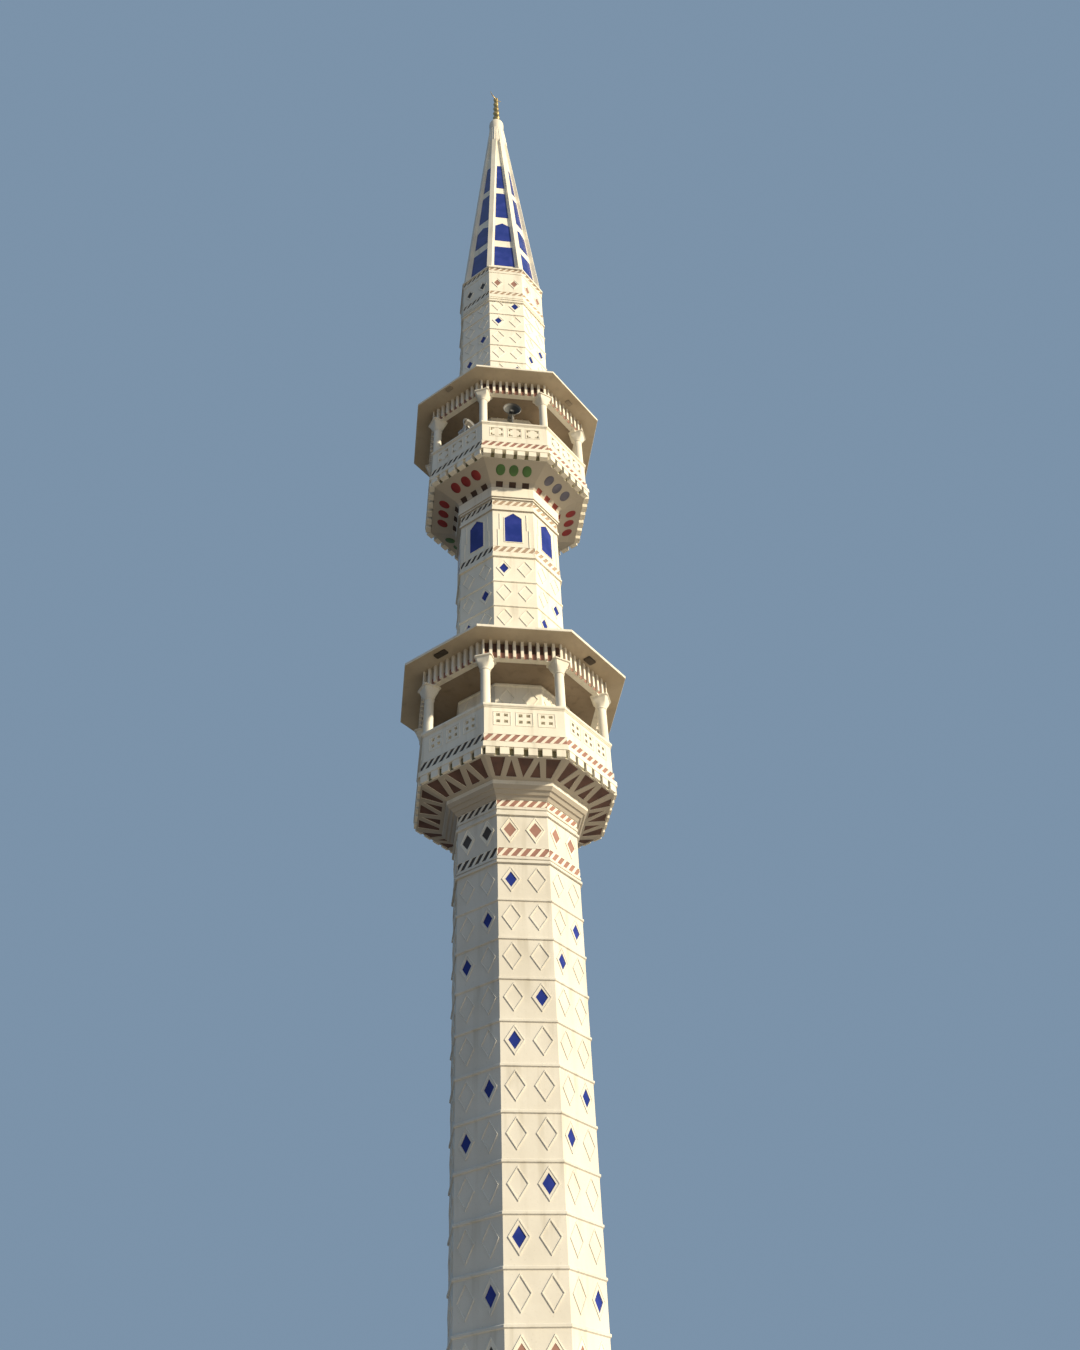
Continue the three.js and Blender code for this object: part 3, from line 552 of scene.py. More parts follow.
def buildRedDiamonds():
    # a pair on each face: a rim, a margin and the painted rhombus inside
    frames = newPiece()
    paint = newPiece()
    for middle, outer, red in redDiamonds["rows"]:
        places = facePlaces(everyFace, (-shaftOrnament["across"], shaftOrnament["across"]), (middle,))
        addRims(frames, places, *outer)
        addMargins(frames, places, np.subtract(outer, redDiamonds["margin"]), red)
        for some, slot in paintedPlaces(places):
            addPrisms(paint, diamond(*red), some, shaftFlat + redDiamonds["proud"], shaftFlat - sink, slot)
    finishPiece("diamond_frames", frames, [plaster])
    finishPiece("painted_diamonds", paint, [brickRed, shadeBlackPaint])


buildRedDiamonds()
print("minaret: shaft ornament")


# Striped courses

courses = {
    "proud": 12,
    "sink": 3,
    "fillet": 10,
    "pitch": 180,
    "bar": 71,
    "barLap": 5,
    "cornerGap": 1,
    "lean": 150,
    "parapetLean": 163,
    "firstOnParapet": -67,
    # rows of low, high, height of the plain foot, place of the first bar and paint
    "onShaft": [
        (13606, 13805, 10, 35, 0),
        (14727, 14900, 10, 10, 0),
        (21880, 22115, 45, 75, 2),
        (23455, 23735, 110, 70, 2),
        (32750, 33070, 150, 70, 2),
        (34070, 34330, 110, 70, 2),
    ],
}


def addCourse(bars, ground, low, high, flat, proud, first, lean, plain, red=0):
    # white bars leaning to the right over a painted ground, between a plain foot and a fillet
    front, back = flat + proud, flat - courses["sink"]
    half = front * spread
    fillet, pitch = courses["fillet"], courses["pitch"]
    for foot, head in ((low, low + plain), (high - fillet, high)):
        addRing(bars, [[back, foot], [front, foot], [front, head], [back, head]])
    bottom, top = low + plain - courses["barLap"], high - fillet + courses["barLap"]
    reach = math.ceil(half / pitch) + 1
    for number in range(-reach, reach):
        left = first + number * pitch
        right = left + courses["bar"]
        outline = [[left, bottom], [right, bottom], [right + lean, top], [left + lean, top]]
        outline = clipAcross(outline, half - courses["cornerGap"])
        if outline is not None:
            addPrisms(bars, outline, faceMiddles, front, back)
    sheet = rectangle(-flat * spread, flat * spread, low + sink, high - sink)
    for some, slot in paintedPlaces(faceMiddles):
        addPrisms(ground, sheet, some, flat + sink, back, slot or red)


def buildShaftCourses():
    # the courses in the two bands and in the ledges of the upper corbel
    bars = newPiece()
    ground = newPiece()
    for low, high, plain, first, red in courses["onShaft"]:
        addCourse(bars, ground, low, high, shaftFlat, courses["proud"], first, courses["lean"], plain, red)
    finishPiece("shaft_course_bars", bars, [plaster])
    finishPiece("shaft_course_ground", ground, [brickRed, shadeBlackPaint, fadedRed])


buildShaftCourses()
print("minaret: striped courses")


# Lattice under the lower balcony

lattice = {
    "foot": shaftRadius * 1.2 * slant,
    "rim": 2152 * slant,
    "low": 15205,
    "high": 15398,
    "depths": (15, 22),  # the sheet's front and back, in from the soffit
    "triangles": [
        [[-166, 543], [0, 80], [166, 543]],
        [[131, 80], [347, 80], [278, 493]],
        [[-347, 80], [-131, 80], [-278, 493]],
    ],
    "quads": [
        [[457, 80], [557, 80], [709, 543], [405, 543]],
        [[-557, 80], [-457, 80], [-405, 543], [-709, 543]],
    ],
}


def addLatticeFloors(piece, outlines):
    # dark sheets of painted shade on the bottoms of the pockets, in the plane of the flaring soffit: a
    # point goes out and up with its place on the slope, and in by its depth
    tilt = math.atan2(lattice["rim"] - lattice["foot"], lattice["high"] - lattice["low"])
    outlines = np.array(outlines, float)
    depths = np.array(lattice["depths"])[None, None, :, None]
    across, up = outlines[None, :, None, :, 0], outlines[None, :, None, :, 1]
    out = lattice["foot"] + up * math.sin(tilt) - depths * math.cos(tilt)
    height = lattice["low"] + up * math.cos(tilt) + depths * math.sin(tilt)
    points = onFace(everyFace[:, None, None, None], across, out, height)
    count, corners = outlines.shape[:2]
    addFaces(piece, points, prismFaces(8 * count, corners))


latticeFloors = newPiece()
for outlines in (lattice["triangles"], lattice["quads"]):
    addLatticeFloors(latticeFloors, outlines)
finishPiece("lattice_shadow", latticeFloors, [deepShade])


# Balconies, from the parapet up: their heights are over the balcony's floor

balcony = {
    "courseFoot": 38,
    "courseTop": 232,
    "courseSink": 12,
    "courseFlat": 2180 * slant,
    "wallFlat": 2150 * slant,
    "wallThick": 90,
    "wallTop": 925,
    # section of the coping under the handrail, out from the wall's face
    "coping": [[-90, 907], [10, 907], [16, 917], [16, 928], [-90, 928]],
    "railFlat": 2195 * slant,
    "railHigh": 1010,
    # section of the handrail, out from its outer face
    "rail": [
        [-147, 927], [-22, 927], [-6, 941], [0, 957], [0, 984], [-8, 1001], [-24, 1010], [-141, 1010],
        [-157, 1001], [-165, 984], [-165, 945],
    ],
    "panelPitch": 456,
    "panel": (-182, 182, 458, 812),
    "panelFrame": [(0, -2), (3, 8), (13, 8), (16, -2)],  # rows of inset and out
    "hole": 39,
    "holeAcross": 79,
    "holeRows": (566, 724),
    "cornerReach": 150,
    "cornerRows": ((500, 1), (790, -1)),
    "cornerArms": ((95, 40), (42, 95)),
}


def addPierced(piece, holes, floor, low, high, front, back):
    # a wall round the tower in cells, split at the edges of its holes, where the cells in a hole
    # are missing; holes are rows of left, right, low and high
    holes = np.array(holes, float)
    half = front * spread
    edgesAcross = np.unique([-half, *holes[:, :2].ravel(), half])
    edgesUp = np.unique([low, *holes[:, 2:].ravel(), high])
    across, up = (edgesAcross[:-1] + edgesAcross[1:]) / 2, (edgesUp[:-1] + edgesUp[1:]) / 2
    solid = np.ones((len(across), len(up)), bool)
    for left, right, foot, head in holes:
        solid &= ~(((across > left) & (across < right))[:, None] & (up > foot) & (up < head))
    columns, rows = solid.shape
    total = 8 * columns
    layers = []
    for flat in (front, back):
        start = np.tile([-flat * spread, *edgesAcross[1:-1]], 8)[:, None]
        layers.append(onFace(np.repeat(everyFace, columns)[:, None], start, flat, floor + edgesUp))

    def quadsOf(cells, *corners):
        # corners are steps of layer, column and row from each named cell
        column, row = np.nonzero(cells)
        found = []
        for layer, along, up in corners:
            found.append((layer * total + (column + along) % total) * (rows + 1) + row + up)
        return np.stack(found, axis=1)

    cells = np.tile(solid, (8, 1))
    before = np.roll(cells, 1, axis=0)
    outside = np.zeros((total, 1), bool)
    below = np.concatenate([outside, cells], axis=1)
    above = np.concatenate([cells, outside], axis=1)
    addFaces(piece, np.stack(layers), [
        quadsOf(cells, (0, 0, 0), (0, 1, 0), (0, 1, 1), (0, 0, 1)),
        quadsOf(cells, (1, 0, 0), (1, 0, 1), (1, 1, 1), (1, 1, 0)),
        quadsOf(~cells & before, (0, 0, 0), (1, 0, 0), (1, 0, 1), (0, 0, 1)),
        quadsOf(cells & ~before, (0, 0, 0), (0, 0, 1), (1, 0, 1), (1, 0, 0)),
        quadsOf(above & ~below, (0, 0, 0), (1, 0, 0), (1, 1, 0), (0, 1, 0)),
        quadsOf(below & ~above, (0, 0, 0), (0, 1, 0), (1, 1, 0), (1, 0, 0)),
    ])


def parapetHoles(name):
    # rows of left, right, low and high: four square holes a panel on the lower balcony, and on the
    # upper one an L of three cells in each panel corner, as two arms that cross
    holes = []
    for middle in (-balcony["panelPitch"], 0, balcony["panelPitch"]):
        for side in (-1, 1):
            if name == "lower":
                across, half = middle + side * balcony["holeAcross"], balcony["hole"]
                for up in balcony["holeRows"]:
                    holes.append((across - half, across + half, up - half, up + half))
            else:
                edge = middle + side * balcony["cornerReach"]
                for foot, way in balcony["cornerRows"]:
                    for wide, tall in balcony["cornerArms"]:
                        across, up = sorted((edge, edge - side * wide)), sorted((foot, foot + way * tall))
                        holes.append((*across, *up))
    return holes


def buildParapet(name, floor):
    # the pierced wall with its panel frames, its foot with the striped course, coping and handrail
    piece = newPiece()
    front = balcony["wallFlat"]
    back = front - balcony["wallThick"]
    low, high = balcony["courseTop"] - sink, balcony["wallTop"]
    addPierced(piece, parapetHoles(name), floor, low, high, front, back)
    left, right, low, high = balcony["panel"]
    loops = []
    for inset, out in balcony["panelFrame"]:
        loops.append((rectangle(left + inset, right - inset, low + inset, high - inset), front + out))
    middles = (-balcony["panelPitch"], 0, balcony["panelPitch"])
    addFrames(piece, loops, facePlaces(everyFace, middles, (floor,)))
    course, ground = balcony["courseFlat"], balcony["courseFlat"] - balcony["courseSink"]
    foot, top = floor + balcony["courseFoot"], floor + balcony["courseTop"]
    addRing(piece, [[back, floor + gap], [course, floor + gap], [course, foot + sink], [ground, foot + sink],
                    [ground, top], [back, top]])
    addRing(piece, np.array(balcony["rail"]) + [balcony["railFlat"], floor])
    addRing(piece, np.array(balcony["coping"]) + [front, floor])
    finishPiece(f"{name}_parapet_wall", piece, [plaster], instead=[f"{name}_parapet"])
    bars = newPiece()
    sheets = newPiece()
    addCourse(bars, sheets, foot, top, ground, balcony["courseSink"], courses["firstOnParapet"],
              courses["parapetLean"], courses["fillet"])
    finishPiece(f"{name}_parapet_bars", bars, [plaster])
    finishPiece(f"{name}_parapet_ground", sheets, [brickRed, shadeBlackPaint])


column = {
    "around": 32,
    "ring": 2035,
    "radius": 104,
    # rows of height and swell past the radius: the base over the rail, and the necking round the
    # capital's foot
    "base": [(0, 22), (26, 22), (34, 12), (44, 0)],
    "capitalFoot": 1960,
    "necking": [(-30, -3), (-24, 10), (-8, 16), (6, 10), (10, 2)],
    "flare": (108, 176),
    "flareRows": (0.12, 0.25, 0.4, 0.55, 0.7, 0.85, 1.0),
    "squareness": 1.7,
    "corner": 1.34,
    "abacusFoot": 2212,
    "abacusHalf": 198,
    "abacusCut": 26,
    # rows of share of the outline and height
    "abacus": [(0.9, 2210), (1.0, 2228), (1.0, 2256), (0.93, 2256)],
}


def columnShape(floor):
    # rows of height, radius and share of square
    foot, neck = floor + balcony["railHigh"] + gap, floor + column["capitalFoot"]
    rows = [(foot + up, column["radius"] + swell, 0) for up, swell in column["base"]]
    rows += [(neck + up, column["radius"] + swell, 0) for up, swell in column["necking"]]
    low, high = rows[-1][0], floor + column["abacusFoot"]
    narrow, wide = column["flare"]
    for share in column["flareRows"]:
        square = min(1.0, share * column["squareness"])
        rows.append((low + (high - low) * share, narrow + (wide - narrow) * share, square))
    return np.array(rows, float)


def buildColumn(name, floor, number):
    # each row is a circle that its share stretches towards a square with its corners rounded off,
    # and the abacus lies on the last one
    piece = newPiece()
    height, radius, share = columnShape(floor).T
    count, ring, corner = column["around"], column["ring"], number - 0.5
    turn = anglesRound(count, 0.5)
    square = 1 / np.maximum(np.abs(np.cos(turn)), np.abs(np.sin(turn)))
    reach = radius * (1 + share * (np.minimum(square, column["corner"]) - 1))
    points = onFace(corner, reach * np.cos(turn), ring + reach * np.sin(turn), height)
    points = np.concatenate([points.reshape(-1, 3), onFace(corner, 0, ring, height[[0, -1]])])
    addFaces(piece, points, [some[:, ::-1] for some in tubeFaces(count, len(height))])
    outline = cutSquare(column["abacusHalf"], column["abacusHalf"], column["abacusCut"])
    addSlab(piece, column["abacus"], outline, corner, 0, ring, floor)
    finishPiece(f"{name}_round_column_{number}", piece, [plaster], instead=[f"{name}_column_{number}"],
                smooth=35)


lintel = {
    "flat": 2195 * slant,
    "foot": 2256.6,
    "fins": 10,
    "finWidth": 62,
    # the painted sheets: rows of depth behind the lintel's face, thickness, low, high and paint
    "sheets": [(67, 4, 2258.6, 2408, 0), (128, 5, 2413, 2692, 1)],
}


def buildFrieze(name, floor):
    # the red course between the feet of the fins, and a dark sheet of painted shade in the recess over it
    piece = newPiece()
    pitch = 2 * lintel["flat"] * spread / lintel["fins"]
    half = (pitch - lintel["finWidth"]) / 2 - gap
    middles = (np.arange(lintel["fins"]) - (lintel["fins"] - 1) / 2) * pitch
    places = facePlaces(everyFace, middles, (floor,))
    for depth, thick, low, high, paint in lintel["sheets"]:
        front, back = lintel["flat"] - depth + thick, lintel["flat"] - depth - sink
        addBeams(piece, [[front, low], [front, high], [back, high], [back, low]], places, half, paint)
    finishPiece(f"{name}_frieze_paint", piece, [brickRed, deepShade])


haunch = {"depth": 71, "thick": 120, "fromCorner": 96, "reach": 190, "drop": 200, "lip": 14, "steps": 8}


def buildHaunches(name, floor):
    # a bracket under each end of a lintel, beside its column's capital, with a quarter of an
    # ellipse below
    piece = newPiece()
    flat = lintel["flat"] - haunch["depth"]
    top = floor + lintel["foot"] - gap
    end = column["ring"] * math.sin(eighth / 2) - haunch["fromCorner"]
    far, low = end - haunch["reach"], top - haunch["lip"] - haunch["drop"]
    bend = np.linspace(0, math.pi / 2, haunch["steps"])
    curve = np.stack([far + haunch["reach"] * np.sin(bend), low + haunch["drop"] * np.cos(bend)], axis=1)
    outline = np.concatenate([[[end, top], [far, top]], curve])
    for some in (outline[::-1] * [-1, 1], outline):
        addPrisms(piece, some, faceMiddles, flat, flat - haunch["thick"])
    finishPiece(f"{name}_haunches", piece, [plaster])


# sections of out and up over the balcony's floor
rings = {
    "ceiling": [[shaftFlat + 2, 2192], [1826, 2250], [1826, 2255.5], [shaftFlat + 2, 2197.5]],
    "lowerTeeth": [[1971, -279], [1979, -279], [1979, -111], [1971, -111]],
    "upperTeeth": [[1897, -279], [1905, -279], [1905, -111], [1897, -111]],
    "canopy": [[1234, 2695], [2640 * slant - 8, 2695], [2640 * slant, 2703], [2640 * slant, 2757],
               [2640 * slant - 8, 2765], [1234, 2875]],
    # the underside's darker paint is painted shade under the canopy
    "canopyPaints": [1, 0, 0, 0, 0, 0],  # the underside has a paint of its own
}


def buildRings(name, floor):
    # a brown lining under the flat ceiling, its dark brown partly painted shade; the canopy slab with the
    # paint of the walls on its edge and top and painted shade underneath; and the board that closes the
    # row of teeth behind, painted dark as painted shade
    for label, section, paints, rowPaints, instead in (
        ("ceiling_lining", rings["ceiling"], [ceilingShadePaint], [0], []),
        ("canopy_slab", rings["canopy"], [plaster, soffitShadePaint], rings["canopyPaints"], [f"{name}_canopy"]),
        ("teeth_backing", rings[f"{name}Teeth"], [teethShadePaint], [0], []),
    ):
        piece = newPiece()
        addRing(piece, np.array(section) + [0, floor])
        piece["paints"] = [np.resize(rowPaints, 8 * len(section))]
        finishPiece(f"{name}_{label}", piece, paints, instead=instead)


soffitLamps = {
    # rows of face, across, out, half length and half width
    "lower": [(7, -145, 2243, 160, 75), (1, -11, 2188, 130, 85), (3, 20, 2200, 130, 85),
              (5, 0, 2220, 150, 90)],
    "upper": [(7, 0, 2330, 100, 60), (1, 23, 2182, 100, 60), (3, 10, 2200, 100, 60), (5, 0, 2220, 100, 60)],
    "paint": {"lower": lampDark, "upper": lampPale},
    "cut": 18,
    # rows of share of the outline and height
    "rim": [(0.9, 2665), (1.0, 2669), (1.0, 2691), (0.94, 2694.5)],
    "face": [(0.8, 2662), (0.82, 2668)],
}


def buildSoffitLamps(name, floor):
    # flat lamps under the canopy: a housing with bevelled edges and a face standing out of it
    piece = newPiece()
    for face, across, out, half, deep in soffitLamps[name]:
        outline = cutSquare(half, deep, soffitLamps["cut"])
        for part in ("rim", "face"):
            addSlab(piece, soffitLamps[part], outline, face, across, out, floor)
    finishPiece(f"{name}_soffit_lamps", piece, [soffitLamps["paint"][name]])


for name, floor in (("lower", tower["lowerFloor"]), ("upper", tower["upperFloor"])):
    buildParapet(name, floor)
    for number in range(1, 9):
        buildColumn(name, floor, number)
    buildFrieze(name, floor)
    buildHaunches(name, floor)
    buildRings(name, floor)
    buildSoffitLamps(name, floor)
print("minaret: balconies")


# Upper corbel: discs and niches

discs = {"across": (-330, 0, 330), "out": 1634, "up": 24405, "run": 205.2, "rise": 96.0, "around": 28,
         "radius": 117, "foot": 0.98, "length": 150, "proud": 16, "power": 0.55, "sink": 6,
         "paints": (0, 2, 1, 0, 2, 0, 1, 1)}


def buildDiscs():
    # low domes on the slope of the flare: the radius goes with a power of the cosine while the
    # height goes with the sine, and all is stretched up the slope
    piece = newPiece()
    radius = discs["radius"]
    bend = np.linspace(0, 1, 6)[:-1] * math.pi / 2
    dome = np.stack([radius * np.cos(bend) ** discs["power"], discs["proud"] * np.sin(bend)], axis=1)
    profile = np.concatenate([[[radius * discs["foot"], -discs["sink"]]], dome])
    tilt = math.atan2(discs["rise"], discs["run"])
    for face in range(8):
        side, normal = onFace(face, 1, 0, 0), onFace(face, 0, math.sin(tilt), -math.cos(tilt))
        for across in discs["across"]:
            middle = onFace(face, across, discs["out"], discs["up"])
            place = placeOf(side, normal, middle, discs["length"] / radius)
            addTurned(piece, profile, discs["around"], place, discs["paints"][face])
    finishPiece("corbel_discs", piece, [discGreen, discRed, discBlue], smooth=40)


niche = {"half": 87, "across": (-330, 0, 330), "curve": [[1267, 24166], [1303, 24232], [1370, 24284]],
         "sink": 12, "thick": 16, "paints": (((0, 7, 6, 3, 4, 5), 0), ((1, 2), 1))}


def buildNiches():
    # a dark lining just behind the flare's surface, so that each niche reads as one dark opening
    piece = newPiece()
    front = np.array(niche["curve"], float) - [niche["sink"], 0]
    section = np.concatenate([front, front[::-1] - [niche["thick"], 0]])
    for faces, slot in niche["paints"]:
        addBeams(piece, section, facePlaces(faces, niche["across"]), niche["half"], slot)
    finishPiece("niche_backs", piece, [nicheShade, nicheRed])


buildDiscs()
buildNiches()


# Window tier

arch = {"half": 206, "low": 22290, "shoulder": 23112, "peak": 23288, "shoulderLift": 0.84, "peakLift": 1.2,
        "paneLap": 1, "paneHalf": 3}

windowTrim = {
    "frame": [(26, -2), (22, 12), (4, 12), (0, -2)],  # rows of growth and out
    "fillets": [(330, 22700, 23260), (380, 22110, 22700)],  # rows of across, low and high
    "filletHalf": 9,
    "filletProud": 14,
    "filletInset": 3,
}


def archOutline(grow):
    # the pointed opening, made larger all round; its shoulders and its peak rise by their own shares
    half, low = arch["half"] + grow, arch["low"] - grow
    shoulder = arch["shoulder"] + grow * arch["shoulderLift"]
    peak = arch["peak"] + grow * arch["peakLift"]
    return np.array([[-half, low], [half, low], [half, shoulder], [0, peak], [-half, shoulder]])


def buildMiddlePanes():
    # the rhombus windows between the balconies, and a pointed pane on each face over them
    places, window = shaftRows["middle"]
    piece = newPiece()
    addPanes(piece, places[window])
    half = arch["paneHalf"]
    addPrisms(piece, archOutline(arch["paneLap"]), faceMiddles, shaftFlat + half, shaftFlat - half)
    finishPiece("middle_panes", piece, [glass], ["middle_glass"])


def buildWindowTrim():
    # a moulding round each pointed window, and two upright fillets on each side of it
    piece = newPiece()
    loops = [(archOutline(grow), shaftFlat + out) for grow, out in windowTrim["frame"]]
    addFrames(piece, loops, faceMiddles)
    half, proud = windowTrim["filletHalf"], shaftFlat + windowTrim["filletProud"]
    inset = windowTrim["filletInset"]
    for across, low, high in windowTrim["fillets"]:
        for middle in (-across, across):
            fillet = rectangle(middle - half, middle + half, low, high)
            addPrisms(piece, fillet, faceMiddles, proud, shaftFlat - sink, inset=inset)
    finishPiece("window_trim", piece, [plaster])


buildMiddlePanes()
buildWindowTrim()
print("minaret: upper corbel and window tier")


# Spire panes, cap, finial and crescent

spire = {
    "foot": 34390.6,
    "top": 45750,
    "radii": (shaftRadius * 0.984, shaftRadius * 0.2),
    "recess": (100, 45),  # how far the faces lie behind the ribs, at the foot and at the top
    "panels": [(34750, 35985), (36440, 37676), (38130, 39955), (40414, 42238)],
    "pointed": 1,  # the panel with a pointed head, counted from 0
    "point": 210,
    "rib": 155,
    "margin": 70,
    "lap": 28,
    "overlap": 14,
    "proud": (6, -4),
}


def partWay(ends, share):
    # an even change from the first end to the second
    return ends[0] + (ends[1] - ends[0]) * share


def spireFlat(z):
    # the radius of the recessed faces between the ribs, which narrow evenly up to the cap
    share = (z - spire["foot"]) / (spire["top"] - spire["foot"])
    return partWay(spire["radii"], share) - partWay(spire["recess"], share)


def buildSpirePanes():
    # sheets that lie over the openings and lap the recessed faces a little on every side
    piece = newPiece()
    lap, overlap = spire["lap"] - spire["rib"] / 2 - spire["margin"], spire["overlap"]
    for number, (low, high) in enumerate(spire["panels"]):
        pointed = number == spire["pointed"]
        shoulder = high - spire["point"] if pointed else high
        wide, narrow = spireFlat(np.array([low, shoulder])) * math.sin(eighth / 2) + lap
        foot, head, shoulder = low - overlap, high + overlap, shoulder + overlap
        corners = [(-wide, foot), (wide, foot), (narrow, shoulder), (0, head), (-narrow, shoulder)]
        if not pointed:
            corners.pop(3)
        across, up = np.array(corners).T
        layers = []
        for proud in spire["proud"]:
            layers.append(onFace(everyFace[:, None], across, spireFlat(up) * slant + proud, up))
        addFaces(piece, np.stack(layers, axis=1), prismFaces(8, len(corners)))
    finishPiece("spire_panes", piece, [glass], ["spire_glass"])


cap = {"around": 48, "neck": [[258, 45751], [262, 45770], [262, 46060], [268, 46200]], "radius": 270,
       "domeFoot": 46290, "rise": 280, "tip": [14, 46570]}


def buildCap():
    # a short neck under a quarter of an ellipse
    piece = newPiece()
    bend = np.linspace(0, math.pi / 2, 12)[:-1]
    dome = np.stack([cap["radius"] * np.cos(bend), cap["domeFoot"] + cap["rise"] * np.sin(bend)], axis=1)
    addTurned(piece, np.concatenate([cap["neck"], dome, [cap["tip"]]]), cap["around"])
    finishPiece("rounded_cap", piece, [plaster], instead=["spire_cap"], smooth=40)


finial = {"rows": 120, "around": 32, "foot": 46570.6, "top": 48599.6, "tip": 48600, "radii": (138, 86),
          "endShare": 0.7, "waist": 0.62, "power": 1.4, "twistFrom": 46570, "twist": 780}


def buildFinial():
    # two strands laid round each other: the radius swells twice a turn, with a power of the
    # cosine, and the whole is twisted evenly
    piece = newPiece()
    rows, count = finial["rows"], finial["around"]
    share = np.linspace(0, 1, rows)
    angle = anglesRound(count)
    height = partWay((finial["foot"], finial["top"]), share)
    radius = partWay(finial["radii"], share)
    radius[[0, -1]] *= finial["endShare"]
    swell = np.abs(np.cos(angle)) ** finial["power"]
    reach = radius * partWay((finial["waist"], 1), swell)
    turn = angle - 2 * math.pi * (height - finial["twistFrom"]) / finial["twist"]
    points = np.stack([reach * np.cos(turn), reach * np.sin(turn), height + 0 * turn], axis=-1)
    points = np.concatenate([points.reshape(-1, 3), [[0, 0, finial["foot"]], [0, 0, finial["tip"]]]])
    quads, foot, tip = tubeFaces(count, rows)
    addFaces(piece, points, [np.roll(quads, -1, axis=1), foot, tip])
    finishPiece("rope_finial", piece, [gilt], ["finial"], smooth=60)


crescent = {"rows": 41, "around": 10, "middle": 48904.6, "radius": 289, "bend": 1.43, "width": (7, 31),
            "thick": (5, 19), "turn": 0.66, "collar": [[30, 48601], [34, 48610], [27, 48632], [22, 48660]],
            "collarAround": 20}


def buildCrescent():
    # an arc of ellipse sections, widest at the foot and drawn out to both tips with the cosine
    piece = newPiece()
    rows, count = crescent["rows"], crescent["around"]
    share = np.linspace(-1, 1, rows)[:, None]
    around = anglesRound(count).T
    swell = np.cos(share * math.pi / 2)
    width, thick = partWay(crescent["width"], swell), partWay(crescent["thick"], swell)
    bend = crescent["bend"] * share
    reach = crescent["radius"] - width + width * np.cos(around)
    up = crescent["middle"] - reach * np.cos(bend)
    points = onFace(crescent["turn"] / eighth, reach * np.sin(bend), -thick * np.sin(around), up)
    ring = np.arange(count)
    ends = [ring[None, :], (ring[::-1] + (rows - 1) * count)[None, :]]
    addFaces(piece, points, [gridQuads(rows, count, False, True), *ends])
    addTurned(piece, crescent["collar"], crescent["collarAround"])
    finishPiece("thin_crescent", piece, [gilt], ["crescent"], smooth=50)


buildSpirePanes()
buildCap()
buildFinial()
buildCrescent()
print("minaret: spire")


# Horn loudspeakers on the upper handrail

horns = {
    # middle of the mouth, turn in degrees, place of the post, how far it stops under the middle,
    # and the paints of the outside and of the inside; both insides and the front horn's dark grey
    # are painted shade
    "horn_front": {"mouth": (-37, -1960, tower["upperFloor"] + 1659), "turn": 0, "post": (-37, -1925),
                   "drop": 200, "paints": [hornShadeGrey, hornInsideShade]},
    "horn_left": {"mouth": (-1075, -1421, tower["upperFloor"] + 1505), "turn": 36, "post": (-1218, -1514),
                  "drop": 142, "paints": [hornPale, hornLiningShade]},
    "around": 48,
    "postAround": 20,
    # rows of radius and distance behind the mouth, from the throat out and back over the outside
    "outline": [
        [30, 58], [46, 48], [54, 60], [52, 82], [42, 150], [36, 200], [38, 262], [50, 262], [66, 206],
        [82, 166], [100, 136], [124, 100], [156, 66], [190, 34], [224, 4], [228, -4], [236, 2], [236, 12],
        [205, 38], [170, 72], [138, 106], [114, 142], [94, 176], [80, 212], [70, 240], [64, 268], [84, 276],
        [84, 384], [66, 400],
    ],
    "insideRows": 13,
    # rows of radius and height over the handrail
    "foot": [[48, 0], [48, 10], [20, 12]],
}


def buildHorn(name):
    # the outline turned about the horn's level axis, on an upright post with a round foot
    given = horns[name]
    piece = newPiece()
    turn = math.radians(given["turn"]) / eighth
    place = placeOf(onFace(turn, 1, 0, 0), onFace(turn, 0, -1, 0), given["mouth"])
    inside = (np.arange(len(horns["outline"]) - 1) < horns["insideRows"]).astype(int)
    addTurned(piece, horns["outline"], horns["around"], place, rowPaints=inside)
    rail = tower["upperFloor"] + balcony["railHigh"] + gap
    top = given["mouth"][2] - given["drop"] - rail
    post = placeOf((1, 0, 0), (0, 0, 1), (*given["post"], rail))
    addTurned(piece, [*horns["foot"], [horns["foot"][-1][0], top]], horns["postAround"], post)
    finishPiece(f"{name}_bell", piece, given["paints"], [name], smooth=40)


buildHorn("horn_front")
buildHorn("horn_left")
print("minaret: horns")


# Floor, light and camera

studioFloor = {"radius": 6000, "around": 96, "top": -1, "foot": -100}


def buildFloor():
    # a round slab just under the foot
    piece = newPiece()
    rim = [[studioFloor["radius"], studioFloor["foot"]], [studioFloor["radius"], studioFloor["top"]]]
    addTurned(piece, rim, studioFloor["around"])
    floor = newObject("studio_floor", piece, [floorPaint])


# angles in degrees
light = {
    "heading": 52.0,
    "height": 22.0,
    "colour": (1.0, 0.862, 0.62),
    "strength": 5.3,
    "spread": 2.5,
    "sky": (0.20, 0.29, 0.40),
    "ground": (0.062, 0.056, 0.048),
    "sunlitGround": (0.76, 0.64, 0.47),
    "sunny": (0.82, -0.57, 0.0),
    "groundBlend": (-0.3, 0.9),
    "skyBlend": (-0.12, 0.12),
}


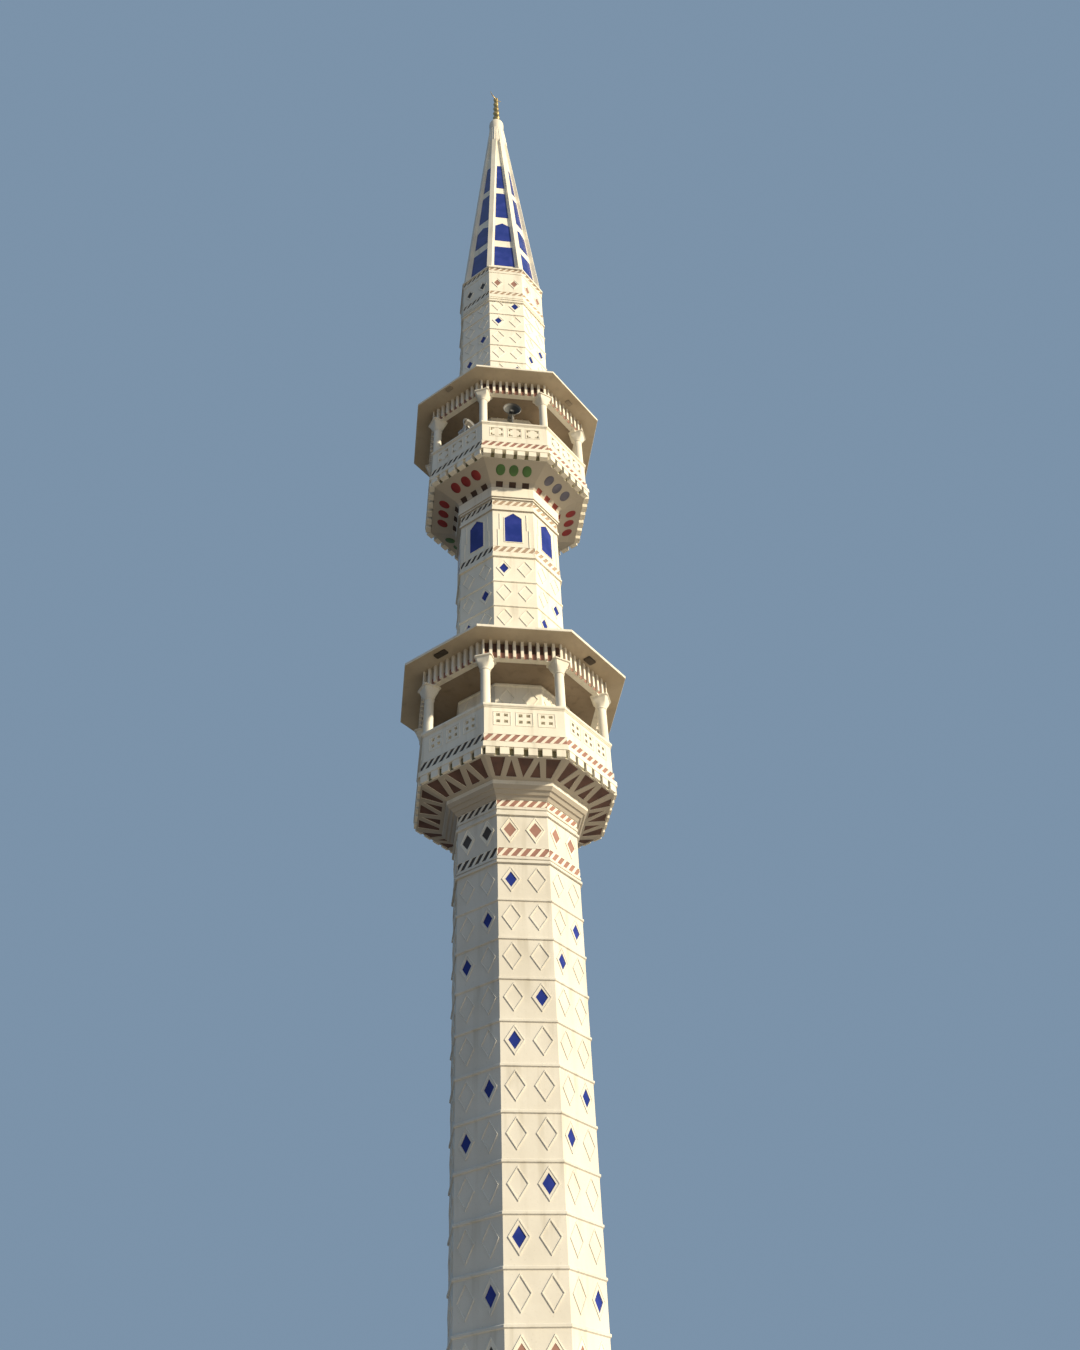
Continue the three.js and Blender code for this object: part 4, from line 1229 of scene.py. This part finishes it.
def buildLight():
    # a low warm sun from the right, a blue-grey studio sky and a warm lower half, brighter on the
    # sun's side
    sun = bpy.data.lights.new("low_sun", "SUN")
    sun.energy = light["strength"]
    sun.color = light["colour"]
    sun.angle = math.radians(light["spread"])
    lamp = bpy.data.objects.new("low_sun", sun)
    bpy.context.scene.collection.objects.link(lamp)
    lamp.rotation_euler = (math.radians(90 - light["height"]), 0, math.radians(light["heading"]))
    world = bpy.data.worlds.new("studio_sky")
    bpy.context.scene.world = world
    world.use_nodes = True
    tree = world.node_tree
    tree.nodes.clear()
    look = wire(tree, "ShaderNodeTexCoord").outputs["Generated"]
    given = {0: look, 1: light["sunny"]}
    side = wire(tree, "ShaderNodeVectorMath", given, operation="DOT_PRODUCT").outputs["Value"]
    sunlit = shareBetween(tree, side, *light["groundBlend"])
    ground = blendOf(tree, sunlit, light["ground"], light["sunlitGround"])
    tone = blendOf(tree, shareBetween(tree, heightOf(tree, look), *light["skyBlend"]), ground, light["sky"])
    back = wire(tree, "ShaderNodeBackground", {"Color": tone, "Strength": 1.0})
    wire(tree, "ShaderNodeOutputWorld", {"Surface": back.outputs[0]})


# place and clip in metres, angles in degrees
view = {"place": (-1.388, -10.450, 0.801), "heading": 9.52, "pitch": 41.482, "roll": -2.768, "lens": 31.80,
        "sensor": 36.0, "shift": -0.0274, "clip": 200.0}


def buildCamera():
    # turned about the upright, tilted up and rolled
    camera = bpy.data.cameras.new("photo_view")
    camera.lens = view["lens"]
    camera.sensor_fit = "AUTO"
    camera.sensor_width = view["sensor"]
    camera.sensor_height = view["sensor"]
    camera.shift_y = view["shift"]
    camera.clip_end = view["clip"]
    seat = bpy.data.objects.new("photo_view", camera)
    bpy.context.scene.collection.objects.link(seat)
    turn = Matrix.Rotation(math.radians(-view["heading"]), 4, "Z")
    turn = turn @ Matrix.Rotation(math.radians(90 + view["pitch"]), 4, "X")
    turn = turn @ Matrix.Rotation(math.radians(view["roll"]), 4, "Z")
    seat.matrix_world = Matrix.Translation(view["place"]) @ turn
    bpy.context.scene.camera = seat


buildFloor()
buildLight()
buildCamera()
bpy.context.scene.view_settings.view_transform = "Standard"
print("minaret: floor, light and camera")
